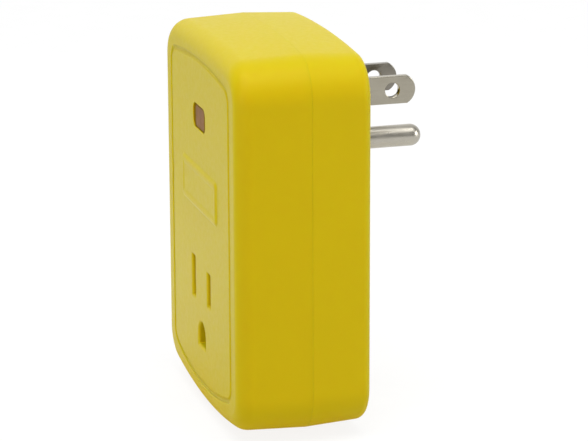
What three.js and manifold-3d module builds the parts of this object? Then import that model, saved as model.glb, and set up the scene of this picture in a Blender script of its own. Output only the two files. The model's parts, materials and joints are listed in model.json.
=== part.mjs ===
// Plug-through outlet tester: a two-shell moulded case with a grounded plug at the back and
// one grounded receptacle and an indicator window at the front.
// Millimetres, +Z up. The origin is on the rear face, midway between the two blades.
// +X is right seen from the front, +Y points to the wall, and the front faces -Y.

import * as THREE from 'three';
import { mergeVertices } from 'three/addons/utils/BufferGeometryUtils.js';
import Module from 'manifold-3d';

const wasm = await Module();
wasm.setup();

// Standard grounded plug and receptacle pattern
const BLADE_X = 6.35;
const GROUND_DROP = 11.9;
const BLADE_WIDTH = 6.1;
const BLADE_THICKNESS = 1.5;
const BLADE_LENGTH = 16.9;
const PIN_RADIUS = 2.39;
const PIN_LENGTH = 20.4;

// Case
const CASE_DEPTH = 29.2;
const SEAM_DEPTH = 13.1;
const SEAM_GAP = 0.3;
const WALL = 2.2;
const INNER_FACE = CASE_DEPTH - WALL;
const CASE = {
  halfWidth: 30.45,
  top: 13.6,
  bottom: -70,
  topRadius: 299,
  bottomRadius: 136,
  cornerRadius: 9.2,
};
const FRONT_DRAFT = THREE.MathUtils.degToRad(2.5);
const REAR_DRAFT = THREE.MathUtils.degToRad(3);
const FRONT_FILLET = 4;
const FRONT_SIDE_REACH = 2.7;
const REAR_FILLET = 2;
const REAR_INNER_FILLET = 1.2;
const LIP = { gap: 0.4, thickness: 1, reach: 1.9, landing: 0.6 };

// Front panel
const PANEL = {
  halfWidth: 24.3,
  top: 8.2,
  bottom: -64.6,
  topRadius: 150,
  bottomRadius: 82,
  cornerRadius: 4,
};
const GROOVE_WIDTH = 0.9;
const GROOVE_DEPTH = 0.45;
const WINDOW = { z: -4.8, width: 10.2, height: 5.4, corner: 1.8, recess: 0.15 };
const PLATE = { z: -20.45, width: 28.2, height: 9.1, corner: 1, proud: 0.4 };
const PLATE_RIM = 0.9;
const PLATE_SINK = 0.15;

// Receptacle: centre height, slots, ground opening, and the slope that widens their mouths
const OUTLET_Z = -41.5;
const GROUND_Z = OUTLET_Z - GROUND_DROP;
const SLOT_WIDTH = 2.6;
const LINE_SLOT = 7.4;
const NEUTRAL_SLOT = 9.2;
const GROUND_ARCH = 2.95;
const GROUND_FLAT = 2.65;
const LEAD_IN = 0.6;

// Depths of the inner stack, as distances in front of the rear face
const HOLDER = { back: 2.5, front: 5.3 };
const FOOT = { back: 5.5, front: 7 };
const UPPER_STRAP = 7.4;
const LOWER_STRAP = 10.3;
const CLAMP = { back: 8, front: 10 };
const BOARD = { back: 16, front: 17.6 };
const HOUSING = { back: 8.3, front: 26.7 };
const COVER = { back: 5.5, front: 8 };

// Plans of the inner pieces
const HOLDER_PLAN = { halfWidth: 13.2, top: 5.5, bottom: -16 };
const EAR = { halfWidth: 20.5, top: -3, bottom: -9 };
const BOARD_PLAN = { halfWidth: 17.5, top: 7, bottom: -22 };
const HOUSING_PLAN = { halfWidth: 15, top: -34, bottom: -60 };
const FIT_GAP = 0.3;
const LOCATING_RIB = { thickness: 1.2, outerCorner: 1, innerCorner: 0.2, housingGrip: 3.2 };
const COVER_RIB = { x: 10, halfWidth: 0.8, shortBy: 2 };

// Screws: places as [x, z], sizes, and the posts and holes that take them
const CASE_SCREWS = [[-22, 3], [22, 3], [-22, -57], [22, -57]];
const CASE_SCREW = { shank: 1.45, length: 14, head: 2.7, headHeight: 1.9, seat: 3.7 };
const CASE_POST = { radius: 3, back: 9, pilot: 1.6, pilotFront: 21 };
const TOWER = { radius: 4.2, front: 8.7, well: 3, wellDepth: 4, passage: 1.7 };
const CLAMP_SCREWS = [[-17.5, -6], [17.5, -6]];
const CLAMP_SCREW = { shank: 1.2, length: 6.4, head: 2.4, headHeight: 1.5 };
const CLAMP_POST = { radius: 3, pilot: 1.5, pilotBack: 3, passage: 1.6 };
const BOARD_SCREWS = [[-14.8, 3.5], [14.8, 3.5]];
const BOARD_SCREW = { shank: 1, length: 6, head: 2, headHeight: 1.3 };
const BOARD_POST = { radius: 2.4, pilot: 1.25, pilotFront: 24.5, passage: 1.4 };
const BOARD_RESTS = [[-14.8, -20.3], [14.8, -20.3]];
const REST_RADIUS = 1.5;
const SEAT_GAP = 0.1;

// Shapes of a pan head as shares of its size, and half the width of its cross recess
const SCREW_SHARES = { shoulder: 0.45, point: 0.5, crown: [0.7, 0.9], cross: 0.55 };
const CROSS_HALF = 0.35;

// Blades and pin inside the case
const BLADE_TIP_SAGITTA = 1.8;
const BLADE_HOLE = { y: 11.7, radius: 1.6 };
const PASSAGE_GAP = 0.25;
const FOOT_END = 12;
const PIN_NOSE = 2.3;
const PIN_COLLAR = 3.7;
const RIVET_X = 9.4;
const RIVET_HEAD = 2;
const RIVET_RIM = 1.6;
const RIVET_FOOT = 0.6;
const RIVET_SHANK = 1.15;
const RIVET_HOLE = 1.3;
const PIN_TAIL = { head: 2.3, rim: 1.8, shank: 1.5, hole: 1.7 };
const TAIL_HEAD = { back: 7.8, front: 8.5 };
const HEAD_POCKET = 2.7;
const FOOT_POCKET = 2.4;
const POCKET_DEPTH = 0.9;

// Contacts: flat straps, and folded clips with two leaves that grip a blade or pin
const STRAP_THICKNESS = 0.6;
const STRAP_WIDTH = 5;
const STRAP_FOLD = { top: 3, high: -26, low: -30 };
const GROUND_STRAP_TOP = -8.5;
const BASE_EDGES = { inner: 4.2, outer: 10.4 };
const CLIP = { thickness: 0.5, height: 6, mouth: 25.4, pinch: 22.6, belly: 18, flare: 1, bulge: 0.75 };
const GRIP_GAP = 0.1;
const POCKET = {
  blade: 2.75,
  ground: { x: 4.1, z: 2.9 },
  endWall: 0.9,
  strapRoom: 0.7,
  baseEdge: 3.5,
  strapEdge: 6.4,
  outerEdge: 12.3,
};
const COVER_CHANNEL = { below: 3.3, behind: 0.6 };

// Indicator circuit
const LENS = { gap: 0.2, rim: 1, flangeCorner: 0.8, flangeBack: 1.1 };
const LAMP_PITCH = 3;
const LAMP_LEAD = 1.27;
const PART_COLUMNS = [-11, 0, 11];
const RESISTOR_Z = -12.5;
const DIODE_Z = -17.3;
const LEAD_SPAN = 5.08;
const LEAD_RADIUS = 0.3;
const LEAD_TAIL = 2.3;
const BAFFLE = { back: 19, front: 25.5, width: 13.4, height: 6.6, corner: 0.8 };
const BAFFLE_LEG = { x: 5.5, radius: 0.8, end: 15.6 };
const LAMP_ROOM = { x: 1.2, z: 2.2 };
const LAMP_BASE = { halfWidth: 1.3, halfHeight: 2.1, back: 0.3, front: 1.1 };
const LAMP_LENS = { halfWidth: 1, halfHeight: 1.9, back: 0.9, front: 7.2 };
const LAMP_WIRE = 0.25;
const RESISTOR_PROFILE = [[0, -3.15], [0.9, -3.05], [1.2, -2.7], [1.2, -1.9], [1, -1.6]];
const DIODE_PROFILE = [[0, -2.5], [1.2, -2.5], [1.35, -2.3]];
const RESISTOR_HEIGHT = 1.6;
const DIODE_HEIGHT = 1.7;
const LEAD_START = 1.5;
const LEAD_HOLE = 0.55;
const WIRE_RADIUS = 0.85;
const WIRE_CORE = 0.45;
const WIRE_HOLE = 0.7;
// The ends of a wire's sleeve, its two bends as steps from them, and the ends of its bare core
const WIRE_ENDS = { board: -15.5, strap: -8.2 };
const WIRE_BENDS = { fromBoard: [2.5, -0.4], fromStrap: [-2.4, 0.8] };
const WIRE_CORE_ENDS = { front: -18.2, back: -14.6 };
const WIRES = [
  { name: 'line_lead', board: 9.8, strap: RIVET_X, colour: '#1b1b1c' },
  { name: 'neutral_lead', board: -9.8, strap: -RIVET_X, colour: '#e4e2da' },
  { name: 'ground_lead', board: 1.2, strap: 0, colour: '#2c7a3f' },
];
const WIRE_BOARD_Z = -20.3;
const WIRE_STRAP_Z = -24;

// How far a cutter runs past the faces that it opens
const CUT_PAST = 1;

// Facets on a round piece, from small leads and holes to wells and posts
const FINE_ROUND = 10;
const SMALL_ROUND = 14;
const ROUND = 22;
const SCREW_ROUND = 18;
const CORNER_STEPS = 6;
const ARC_STEPS = 8;
const TIP_STEPS = 10;
const GROUND_STEPS = 14;
const WIRE_STEPS = 9;

// ---------------------------------------------------------------- solids

function solid(geometry) {
  const bare = geometry.clone();
  bare.deleteAttribute('normal');
  bare.deleteAttribute('uv');
  const merged = mergeVertices(bare, 1e-4);
  const index = merged.index.array;
  const triVerts = [];
  for (let i = 0; i < index.length; i += 3) {
    const [a, b, c] = index.slice(i, i + 3);
    if (a !== b && b !== c && c !== a) triVerts.push(a, b, c);
  }
  return new wasm.Manifold(new wasm.Mesh({
    numProp: 3,
    vertProperties: new Float32Array(merged.attributes.position.array),
    triVerts: new Uint32Array(triVerts),
  }));
}

function geometryOf(body) {
  const mesh = body.getMesh();
  const geometry = new THREE.BufferGeometry();
  geometry.setAttribute('position', new THREE.BufferAttribute(mesh.vertProperties, 3));
  geometry.setIndex(new THREE.BufferAttribute(mesh.triVerts, 1));
  geometry.computeVertexNormals();
  return geometry;
}

function build(first, { join = [], cut = [] }) {
  let body = solid(first);
  for (const piece of join) body = body.add(solid(piece));
  for (const piece of cut) body = body.subtract(solid(piece));
  return geometryOf(body);
}

// ---------------------------------------------------------------- outlines and basic forms

function arc(centreX, centreZ, radius, from, to, steps) {
  const points = [];
  for (let i = 0; i < steps; i += 1) {
    const angle = from + (to - from) * i / steps;
    points.push(new THREE.Vector2(
      centreX + radius * Math.cos(angle),
      centreZ + radius * Math.sin(angle),
    ));
  }
  return points;
}

// Straight sides, gently arched top and bottom, and round corners tangent to both
function archedOutline(o, inset = 0) {
  const cornerX = o.halfWidth - o.cornerRadius;
  const topCentre = o.top - o.topRadius;
  const bottomCentre = o.bottom + o.bottomRadius;
  const upZ = topCentre + Math.sqrt((o.topRadius - o.cornerRadius) ** 2 - cornerX ** 2);
  const downZ = bottomCentre - Math.sqrt((o.bottomRadius - o.cornerRadius) ** 2 - cornerX ** 2);
  const up = Math.atan2(upZ - topCentre, cornerX);
  const down = Math.atan2(bottomCentre - downZ, cornerX);
  const corner = o.cornerRadius - inset;
  const half = Math.PI;
  const full = 2 * Math.PI;
  return [
    ...arc(cornerX, upZ, corner, 0, up, CORNER_STEPS),
    ...arc(0, topCentre, o.topRadius - inset, up, half - up, ARC_STEPS),
    ...arc(-cornerX, upZ, corner, half - up, half, CORNER_STEPS),
    new THREE.Vector2(-cornerX - corner, upZ),
    ...arc(-cornerX, downZ, corner, half, half + down, CORNER_STEPS),
    ...arc(0, bottomCentre, o.bottomRadius - inset, half + down, full - down, ARC_STEPS),
    ...arc(cornerX, downZ, corner, full - down, full, CORNER_STEPS),
    new THREE.Vector2(cornerX + corner, downZ),
  ];
}

function rectangle(left, bottom, right, top) {
  return [
    new THREE.Vector2(left, bottom),
    new THREE.Vector2(right, bottom),
    new THREE.Vector2(right, top),
    new THREE.Vector2(left, top),
  ];
}

function roundedRectangle(width, height, radius, centreZ) {
  const x = width / 2 - radius;
  const z = height / 2 - radius;
  const quarter = Math.PI / 2;
  const corners = [[x, z], [-x, z], [-x, -z], [x, -z]];
  const points = [];
  corners.forEach(([cx, cz], i) => {
    points.push(...arc(cx, centreZ + cz, radius, i * quarter, (i + 1) * quarter, 4));
    points.push(new THREE.Vector2(
      cx + radius * Math.cos((i + 1) * quarter),
      centreZ + cz + radius * Math.sin((i + 1) * quarter),
    ));
  });
  return new THREE.Shape(points);
}

// A flat piece drawn in X and Z, lying between two depths in front of the rear face
function slab(shape, back, front) {
  const geometry = new THREE.ExtrudeGeometry(shape, { depth: front - back, bevelEnabled: false });
  return geometry.rotateX(Math.PI / 2).translate(0, -back, 0);
}

function block(left, right, bottom, top, back, front) {
  return slab(new THREE.Shape(rectangle(left, bottom, right, top)), back, front);
}

function centredBlock(plan, back, front) {
  return block(-plan.halfWidth, plan.halfWidth, plan.bottom, plan.top, back, front);
}

function ascending(a, b) {
  return [Math.min(a, b), Math.max(a, b)];
}

// A profile drawn as (y, z) and extruded, turned so that its thickness runs along X
function standOnEdge(shape, thickness) {
  const flat = new THREE.ExtrudeGeometry(shape, { depth: thickness, bevelEnabled: false });
  const x = new THREE.Vector3(1, 0, 0);
  const y = new THREE.Vector3(0, 1, 0);
  const z = new THREE.Vector3(0, 0, 1);
  return flat.applyMatrix4(new THREE.Matrix4().makeBasis(y, z, x));
}

function facets(radius) {
  if (radius < 1) return FINE_ROUND;
  return radius < 2 ? SMALL_ROUND : ROUND;
}

// A round bar along Y between two depths
function bar(radius, x, z, back, front) {
  const geometry = new THREE.CylinderGeometry(radius, radius, front - back, facets(radius));
  return geometry.translate(x, -(back + front) / 2, z);
}

// A turned piece along Y from [radius, y] pairs, which start and end on the axis
function turned(profile, segments = ROUND) {
  return new THREE.LatheGeometry(profile.map(([r, y]) => new THREE.Vector2(r, y)), segments);
}

// A round rod between two points
function rod(from, to, radius) {
  const start = new THREE.Vector3(...from);
  const along = new THREE.Vector3(...to).sub(start);
  const geometry = new THREE.CylinderGeometry(radius, radius, along.length(), 8);
  const turn = new THREE.Quaternion().setFromUnitVectors(
    new THREE.Vector3(0, 1, 0),
    along.clone().normalize(),
  );
  geometry.applyQuaternion(turn);
  const middle = start.addScaledVector(along, 0.5);
  return geometry.translate(middle.x, middle.y, middle.z);
}

// The outline of a strip of even thickness that is folded along the given points
function foldedStrip(points, thickness) {
  const path = points.map(([a, b]) => new THREE.Vector2(a, b));
  const near = [];
  const far = [];
  path.forEach((point, i) => {
    const before = point.clone().sub(path[Math.max(i - 1, 0)]).normalize();
    const after = path[Math.min(i + 1, path.length - 1)].clone().sub(point).normalize();
    const along = before.clone().add(after).normalize();
    const side = new THREE.Vector2(-along.y, along.x);
    const edge = i === 0 ? after : before;
    const mitre = thickness / 2 / Math.abs(side.dot(new THREE.Vector2(-edge.y, edge.x)));
    near.push(point.clone().addScaledVector(side, mitre));
    far.unshift(point.clone().addScaledVector(side, -mitre));
  });
  return new THREE.Shape([...near, ...far]);
}

function middleOf(ring) {
  const sum = ring.reduce((total, point) => total.add(point), new THREE.Vector2());
  return sum.divideScalar(ring.length);
}

// A solid through rings of outline(inset, widening), given as [inset, y, widening] rows, with a
// flat face at each end
function outlineLoft(outline, profile) {
  const rings = profile.map(([inset, , widening]) => outline(inset, widening));
  const count = rings[0].length;
  const last = rings.length - 1;
  const positions = [];
  rings.forEach((ring, k) => {
    for (const point of ring) positions.push(point.x, profile[k][1], point.y);
  });
  for (const k of [0, last]) {
    const middle = middleOf(rings[k]);
    positions.push(middle.x, profile[k][1], middle.y);
  }
  const firstMiddle = rings.length * count;
  const forward = profile[last][1] > profile[0][1];
  const index = [];
  const face = (a, b, c) => (forward ? index.push(a, b, c) : index.push(a, c, b));
  for (let i = 0; i < count; i += 1) {
    const next = (i + 1) % count;
    for (let k = 0; k < last; k += 1) {
      const a = k * count;
      const b = a + count;
      face(a + i, b + next, a + next);
      face(a + i, b + i, b + next);
    }
    face(firstMiddle, i, next);
    face(firstMiddle + 1, last * count + next, last * count + i);
  }
  const geometry = new THREE.BufferGeometry();
  geometry.setAttribute('position', new THREE.Float32BufferAttribute(positions, 3));
  geometry.setIndex(index);
  return geometry;
}

// [inset, y, widening] rows from a flat face, round its filleted edge and down a drafted side to
// the seam. On the upright sides the fillet may reach in less than its radius.
function sideProfile({ faceY, seamY, draft, radius, inset, steps, sideReach = radius }) {
  const toFace = Math.sign(faceY - seamY);
  const rise = Math.abs(faceY - seamY) - radius;
  const centreInset = inset + (radius + rise * Math.sin(draft)) / Math.cos(draft);
  const centreY = seamY + toFace * rise;
  const tangentInset = centreInset - radius * Math.cos(draft);
  const narrowing = 1 - sideReach / radius;
  const points = [];
  for (let i = 0; i <= steps; i += 1) {
    const angle = (Math.PI / 2 - draft) * i / steps;
    const ringInset = centreInset - radius * Math.sin(angle);
    points.push([
      ringInset,
      centreY + toFace * radius * Math.cos(angle),
      (ringInset - tangentInset) * narrowing,
    ]);
  }
  points.push([inset, seamY]);
  return points;
}

// ---------------------------------------------------------------- case

// The case outline, with its upright sides moved out by the widening
function caseOutline(inset, widening = 0) {
  const stretch = new THREE.Vector2(1 + widening / (CASE.halfWidth - inset), 1);
  return archedOutline(CASE, inset).map((point) => point.multiply(stretch));
}

// A round arch over a flat floor
function groundOutline(inset) {
  const radius = GROUND_ARCH - inset;
  const floor = GROUND_Z - GROUND_FLAT + inset;
  return [
    ...arc(0, GROUND_Z, radius, 0, Math.PI, GROUND_STEPS),
    new THREE.Vector2(-radius, GROUND_Z),
    new THREE.Vector2(-radius, floor),
    new THREE.Vector2(radius, floor),
  ];
}

function slotOutline(x, height, inset) {
  const halfWidth = SLOT_WIDTH / 2 - inset;
  const halfHeight = height / 2 - inset;
  return rectangle(x - halfWidth, OUTLET_Z - halfHeight, x + halfWidth, OUTLET_Z + halfHeight);
}

const OUTLET_OUTLINES = [
  (inset) => slotOutline(BLADE_X, LINE_SLOT, inset),
  (inset) => slotOutline(-BLADE_X, NEUTRAL_SLOT, inset),
  groundOutline,
];

// Cuts an opening through the front wall, with its mouth widened by the lead-in
function mouthCutter(outline) {
  return outlineLoft(outline, [
    [-LEAD_IN, -CASE_DEPTH - CUT_PAST],
    [-LEAD_IN, -CASE_DEPTH],
    [0, -CASE_DEPTH + LEAD_IN],
    [0, -INNER_FACE + CUT_PAST],
  ]);
}

function panelGroove() {
  const ring = new THREE.Shape(archedOutline(PANEL));
  ring.holes.push(new THREE.Path(archedOutline(PANEL, GROOVE_WIDTH)));
  return slab(ring, CASE_DEPTH - GROOVE_DEPTH, CASE_DEPTH + CUT_PAST);
}

function platePad() {
  const pad = roundedRectangle(PLATE.width, PLATE.height, PLATE.corner, PLATE.z);
  return slab(pad, INNER_FACE + WALL / 2, CASE_DEPTH + PLATE.proud);
}

function plateField() {
  const width = PLATE.width - 2 * PLATE_RIM;
  const height = PLATE.height - 2 * PLATE_RIM;
  const field = roundedRectangle(width, height, PLATE.corner / 2, PLATE.z);
  return slab(field, CASE_DEPTH + PLATE.proud - PLATE_SINK, CASE_DEPTH + PLATE.proud + CUT_PAST);
}

// A low wall round a seated piece's plan
function locatingRib(plan, back, front) {
  const middle = (plan.top + plan.bottom) / 2;
  const width = 2 * (plan.halfWidth + FIT_GAP);
  const height = plan.top - plan.bottom + 2 * FIT_GAP;
  const { thickness, outerCorner, innerCorner } = LOCATING_RIB;
  const ring = roundedRectangle(width + 2 * thickness, height + 2 * thickness, outerCorner, middle);
  ring.holes.push(roundedRectangle(width, height, innerCorner, middle));
  return slab(ring, back, front);
}

function frontSkin() {
  const seamY = -(SEAM_DEPTH + SEAM_GAP / 2);
  const outer = sideProfile({
    faceY: -CASE_DEPTH,
    seamY,
    draft: FRONT_DRAFT,
    radius: FRONT_FILLET,
    inset: 0,
    steps: 6,
    sideReach: FRONT_SIDE_REACH,
  });
  const inner = sideProfile({
    faceY: -INNER_FACE, seamY, draft: FRONT_DRAFT, radius: FRONT_FILLET - WALL, inset: WALL, steps: 3,
  });
  return outlineLoft(caseOutline, [...outer, ...inner.reverse()]);
}

function frontShell() {
  const postFront = INNER_FACE + WALL / 2;
  const boardFront = BOARD.front + FIT_GAP;
  const ribBack = HOUSING.front - LOCATING_RIB.housingGrip;
  const pane = roundedRectangle(WINDOW.width, WINDOW.height, WINDOW.corner, WINDOW.z);
  const join = [platePad(), locatingRib(HOUSING_PLAN, ribBack, postFront)];
  const cut = [
    panelGroove(),
    plateField(),
    slab(pane, INNER_FACE - CUT_PAST, CASE_DEPTH + CUT_PAST),
    ...OUTLET_OUTLINES.map(mouthCutter),
  ];
  for (const [x, z] of CASE_SCREWS) {
    join.push(bar(CASE_POST.radius, x, z, CASE_POST.back, postFront));
    cut.push(bar(CASE_POST.pilot, x, z, CASE_POST.back - CUT_PAST, CASE_POST.pilotFront));
  }
  for (const [x, z] of BOARD_SCREWS) {
    join.push(bar(BOARD_POST.radius, x, z, boardFront, postFront));
    cut.push(bar(BOARD_POST.pilot, x, z, BOARD.front, BOARD_POST.pilotFront));
  }
  for (const [x, z] of BOARD_RESTS) join.push(bar(REST_RADIUS, x, z, boardFront, postFront));
  return build(frontSkin(), { join, cut });
}

function bladePassages(back, front) {
  const x = BLADE_THICKNESS / 2 + PASSAGE_GAP;
  const z = BLADE_WIDTH / 2 + PASSAGE_GAP;
  return [-BLADE_X, BLADE_X].map((centre) => block(centre - x, centre + x, -z, z, back, front));
}

function pinPassage(back, front) {
  return bar(PIN_RADIUS + PASSAGE_GAP, 0, -GROUND_DROP, back, front);
}

// The rear half, whose lip reaches into the front half
function rearSkin() {
  const seamY = -(SEAM_DEPTH - SEAM_GAP / 2);
  const lipOuter = WALL + LIP.gap;
  const lipInner = lipOuter + LIP.thickness;
  const lipRoot = seamY + LIP.reach;
  const outer = sideProfile({
    faceY: 0, seamY, draft: REAR_DRAFT, radius: REAR_FILLET, inset: 0, steps: 4,
  });
  const inner = sideProfile({
    faceY: -WALL,
    seamY: lipRoot + LIP.landing,
    draft: REAR_DRAFT,
    radius: REAR_INNER_FILLET,
    inset: WALL + LIP.gap / 2,
    steps: 3,
  });
  const lip = [
    [lipOuter, seamY], [lipOuter, seamY - LIP.reach], [lipInner, seamY - LIP.reach], [lipInner, lipRoot],
  ];
  return outlineLoft(caseOutline, [...outer, ...lip, ...inner.reverse()]);
}

function coverRib(x) {
  const bottom = HOUSING_PLAN.bottom + COVER_RIB.shortBy;
  const top = HOUSING_PLAN.top - COVER_RIB.shortBy;
  const front = COVER.back - FIT_GAP;
  return block(x - COVER_RIB.halfWidth, x + COVER_RIB.halfWidth, bottom, top, WALL / 2, front);
}

function rearShell() {
  const root = WALL / 2;
  const through = WALL + CUT_PAST;
  const join = [
    locatingRib(HOLDER_PLAN, root, HOLDER.front - FIT_GAP),
    coverRib(-COVER_RIB.x),
    coverRib(COVER_RIB.x),
  ];
  const cut = [...bladePassages(-CUT_PAST, through), pinPassage(-CUT_PAST, through)];
  for (const [x, z] of CASE_SCREWS) {
    join.push(bar(TOWER.radius, x, z, root, TOWER.front));
    cut.push(bar(TOWER.well, x, z, -CUT_PAST, TOWER.wellDepth));
    cut.push(bar(TOWER.passage, x, z, TOWER.wellDepth - CUT_PAST, TOWER.front + CUT_PAST));
  }
  for (const [x, z] of CLAMP_SCREWS) {
    join.push(bar(CLAMP_POST.radius, x, z, root, CLAMP.back - FIT_GAP));
    cut.push(bar(CLAMP_POST.pilot, x, z, CLAMP_POST.pilotBack, CLAMP.back + CUT_PAST));
  }
  return build(rearSkin(), { join, cut });
}

// ---------------------------------------------------------------- plug

// side is +1 for the line blade and -1 for the neutral blade
function blade(side) {
  const half = BLADE_WIDTH / 2;
  const tipRadius = (half ** 2 + BLADE_TIP_SAGITTA ** 2) / (2 * BLADE_TIP_SAGITTA);
  const spread = Math.asin(half / tipRadius);
  const profile = new THREE.Shape([
    ...arc(BLADE_LENGTH - tipRadius, 0, tipRadius, -spread, spread, TIP_STEPS),
    new THREE.Vector2(BLADE_LENGTH - BLADE_TIP_SAGITTA, half),
    new THREE.Vector2(-FOOT.front, half),
    new THREE.Vector2(-FOOT.front, -half),
  ]);
  profile.holes.push(new THREE.Path(arc(BLADE_HOLE.y, 0, BLADE_HOLE.radius, 0, 2 * Math.PI, 20)));
  const flat = standOnEdge(profile, BLADE_THICKNESS);
  flat.translate(side * BLADE_X - BLADE_THICKNESS / 2, 0, 0);
  const [left, right] = ascending(side * (BLADE_X - BLADE_THICKNESS / 2), side * FOOT_END);
  const foot = block(left, right, -half, half, FOOT.back, FOOT.front);
  const rivetHole = bar(RIVET_HOLE, side * RIVET_X, 0, FOOT.back - CUT_PAST, FOOT.front + CUT_PAST);
  return build(flat, { join: [foot], cut: [rivetHole] });
}

// A round pin with a blunt nose, a collar on the holder and a peened tail through the strap
function groundPin() {
  const collarFront = -FOOT.front + SEAT_GAP;
  const profile = [
    [0, -TAIL_HEAD.front], [PIN_TAIL.rim, -TAIL_HEAD.front + SEAT_GAP],
    [PIN_TAIL.head, -TAIL_HEAD.back], [PIN_TAIL.shank, -TAIL_HEAD.back],
    [PIN_TAIL.shank, collarFront], [PIN_COLLAR, collarFront],
    [PIN_COLLAR, -FOOT.back], [PIN_RADIUS, -FOOT.back],
  ];
  const steps = 6;
  for (let i = steps; i >= 0; i -= 1) {
    const angle = (Math.PI / 2) * i / steps;
    profile.push([PIN_RADIUS * Math.sin(angle), PIN_LENGTH - PIN_NOSE * (1 - Math.cos(angle))]);
  }
  return turned(profile).translate(0, 0, -GROUND_DROP);
}

function rivet() {
  const foot = -FOOT.back + SEAT_GAP;
  const end = foot + RIVET_FOOT;
  return turned([
    [0, -TAIL_HEAD.front], [RIVET_RIM, -TAIL_HEAD.front + SEAT_GAP],
    [RIVET_HEAD, -TAIL_HEAD.back], [RIVET_SHANK, -TAIL_HEAD.back],
    [RIVET_SHANK, foot], [RIVET_HEAD, foot],
    [RIVET_RIM, end], [0, end + SEAT_GAP],
  ], SMALL_ROUND);
}

function bladeHolder() {
  const back = HOLDER.back - CUT_PAST;
  const front = HOLDER.front + CUT_PAST;
  const cut = [...bladePassages(back, front), pinPassage(back, front)];
  for (const x of [-RIVET_X, RIVET_X]) {
    cut.push(bar(FOOT_POCKET, x, 0, HOLDER.front - POCKET_DEPTH, front));
  }
  return build(centredBlock(HOLDER_PLAN, HOLDER.back, HOLDER.front), { cut });
}

function bladeClamp() {
  const plan = HOLDER_PLAN;
  const right = [
    [plan.halfWidth, plan.bottom], [plan.halfWidth, EAR.bottom], [EAR.halfWidth, EAR.bottom],
    [EAR.halfWidth, EAR.top], [plan.halfWidth, EAR.top], [plan.halfWidth, plan.top],
  ];
  const left = right.map(([x, z]) => [-x, z]).reverse();
  const outline = new THREE.Shape([...right, ...left].map(([x, z]) => new THREE.Vector2(x, z)));
  const heads = [[-RIVET_X, 0], [RIVET_X, 0], [0, -GROUND_DROP]];
  const back = CLAMP.back - CUT_PAST;
  const cut = heads.map(([x, z]) => bar(HEAD_POCKET, x, z, back, CLAMP.back + POCKET_DEPTH));
  for (const [x, z] of CLAMP_SCREWS) {
    cut.push(bar(CLAMP_POST.passage, x, z, back, CLAMP.front + CUT_PAST));
  }
  return build(slab(outline, CLAMP.back, CLAMP.front), { cut });
}

// ---------------------------------------------------------------- receptacle

function foldedClip(centreX, centreZ, gap, baseDepth, height) {
  const pinch = gap / 2 + CLIP.thickness / 2;
  const leaf = [
    [pinch + CLIP.flare, -CLIP.mouth],
    [pinch, -CLIP.pinch],
    [pinch + CLIP.bulge, -CLIP.belly],
    [pinch + CLIP.bulge, -baseDepth],
  ];
  const mirrored = leaf.map(([x, y]) => [-x, y]).reverse();
  const shape = foldedStrip([...leaf, ...mirrored], CLIP.thickness);
  const clip = new THREE.ExtrudeGeometry(shape, { depth: height, bevelEnabled: false });
  return clip.translate(centreX, 0, centreZ - height / 2);
}

// A hole through the upper end of a strap
function strapHole(radius, x, z) {
  return bar(radius, x, z, UPPER_STRAP - CUT_PAST, UPPER_STRAP + CUT_PAST);
}

// side is +1 for the line contact and -1 for the neutral contact
function bladeContact(side) {
  const half = STRAP_THICKNESS / 2;
  const low = OUTLET_Z - CLIP.height / 2;
  const fold = [
    [-UPPER_STRAP, STRAP_FOLD.top], [-UPPER_STRAP, STRAP_FOLD.high],
    [-LOWER_STRAP, STRAP_FOLD.low], [-LOWER_STRAP, low],
  ];
  const strap = standOnEdge(foldedStrip(fold, STRAP_THICKNESS), STRAP_WIDTH);
  strap.translate(side * RIVET_X - STRAP_WIDTH / 2, 0, 0);
  const [left, right] = ascending(side * BASE_EDGES.inner, side * BASE_EDGES.outer);
  const base = block(left, right, low, low + CLIP.height, LOWER_STRAP - half, LOWER_STRAP + half);
  const gap = BLADE_THICKNESS + 2 * GRIP_GAP;
  const clip = foldedClip(side * BLADE_X, OUTLET_Z, gap, LOWER_STRAP, CLIP.height);
  const rivetHole = strapHole(RIVET_HOLE, side * RIVET_X, 0);
  return build(strap, { join: [base, clip], cut: [rivetHole] });
}

function groundContact() {
  const half = STRAP_THICKNESS / 2;
  const halfWidth = STRAP_WIDTH / 2;
  const back = UPPER_STRAP - half;
  const strap = block(
    -halfWidth, halfWidth, GROUND_Z - halfWidth, GROUND_STRAP_TOP, back, back + STRAP_THICKNESS,
  );
  const clip = foldedClip(0, GROUND_Z, 2 * (PIN_RADIUS + GRIP_GAP), UPPER_STRAP, STRAP_WIDTH);
  const tailHole = strapHole(PIN_TAIL.hole, 0, -GROUND_DROP);
  return build(strap, { join: [clip], cut: [tailHole] });
}

// Room for one blade contact: its clip, its base, and the strap that comes down from above
function contactPocket(side, slotHeight, open, end) {
  const low = OUTLET_Z - slotHeight / 2 - FIT_GAP;
  const high = OUTLET_Z + slotHeight / 2 + FIT_GAP;
  const strapRoom = LOWER_STRAP + POCKET.strapRoom;
  const outside = side * POCKET.outerEdge;
  const clipX = side * BLADE_X;
  const [baseLeft, baseRight] = ascending(side * POCKET.baseEdge, outside);
  const [strapLeft, strapRight] = ascending(side * POCKET.strapEdge, outside);
  return [
    block(clipX - POCKET.blade, clipX + POCKET.blade, low, high, open, end),
    block(baseLeft, baseRight, low, high, open, strapRoom),
    block(strapLeft, strapRight, OUTLET_Z, HOUSING_PLAN.top + CUT_PAST, open, strapRoom),
  ];
}

function groundPocket(open, end) {
  const { x, z } = POCKET.ground;
  return block(-x, x, GROUND_Z - z, GROUND_Z + z, open, end);
}

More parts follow.
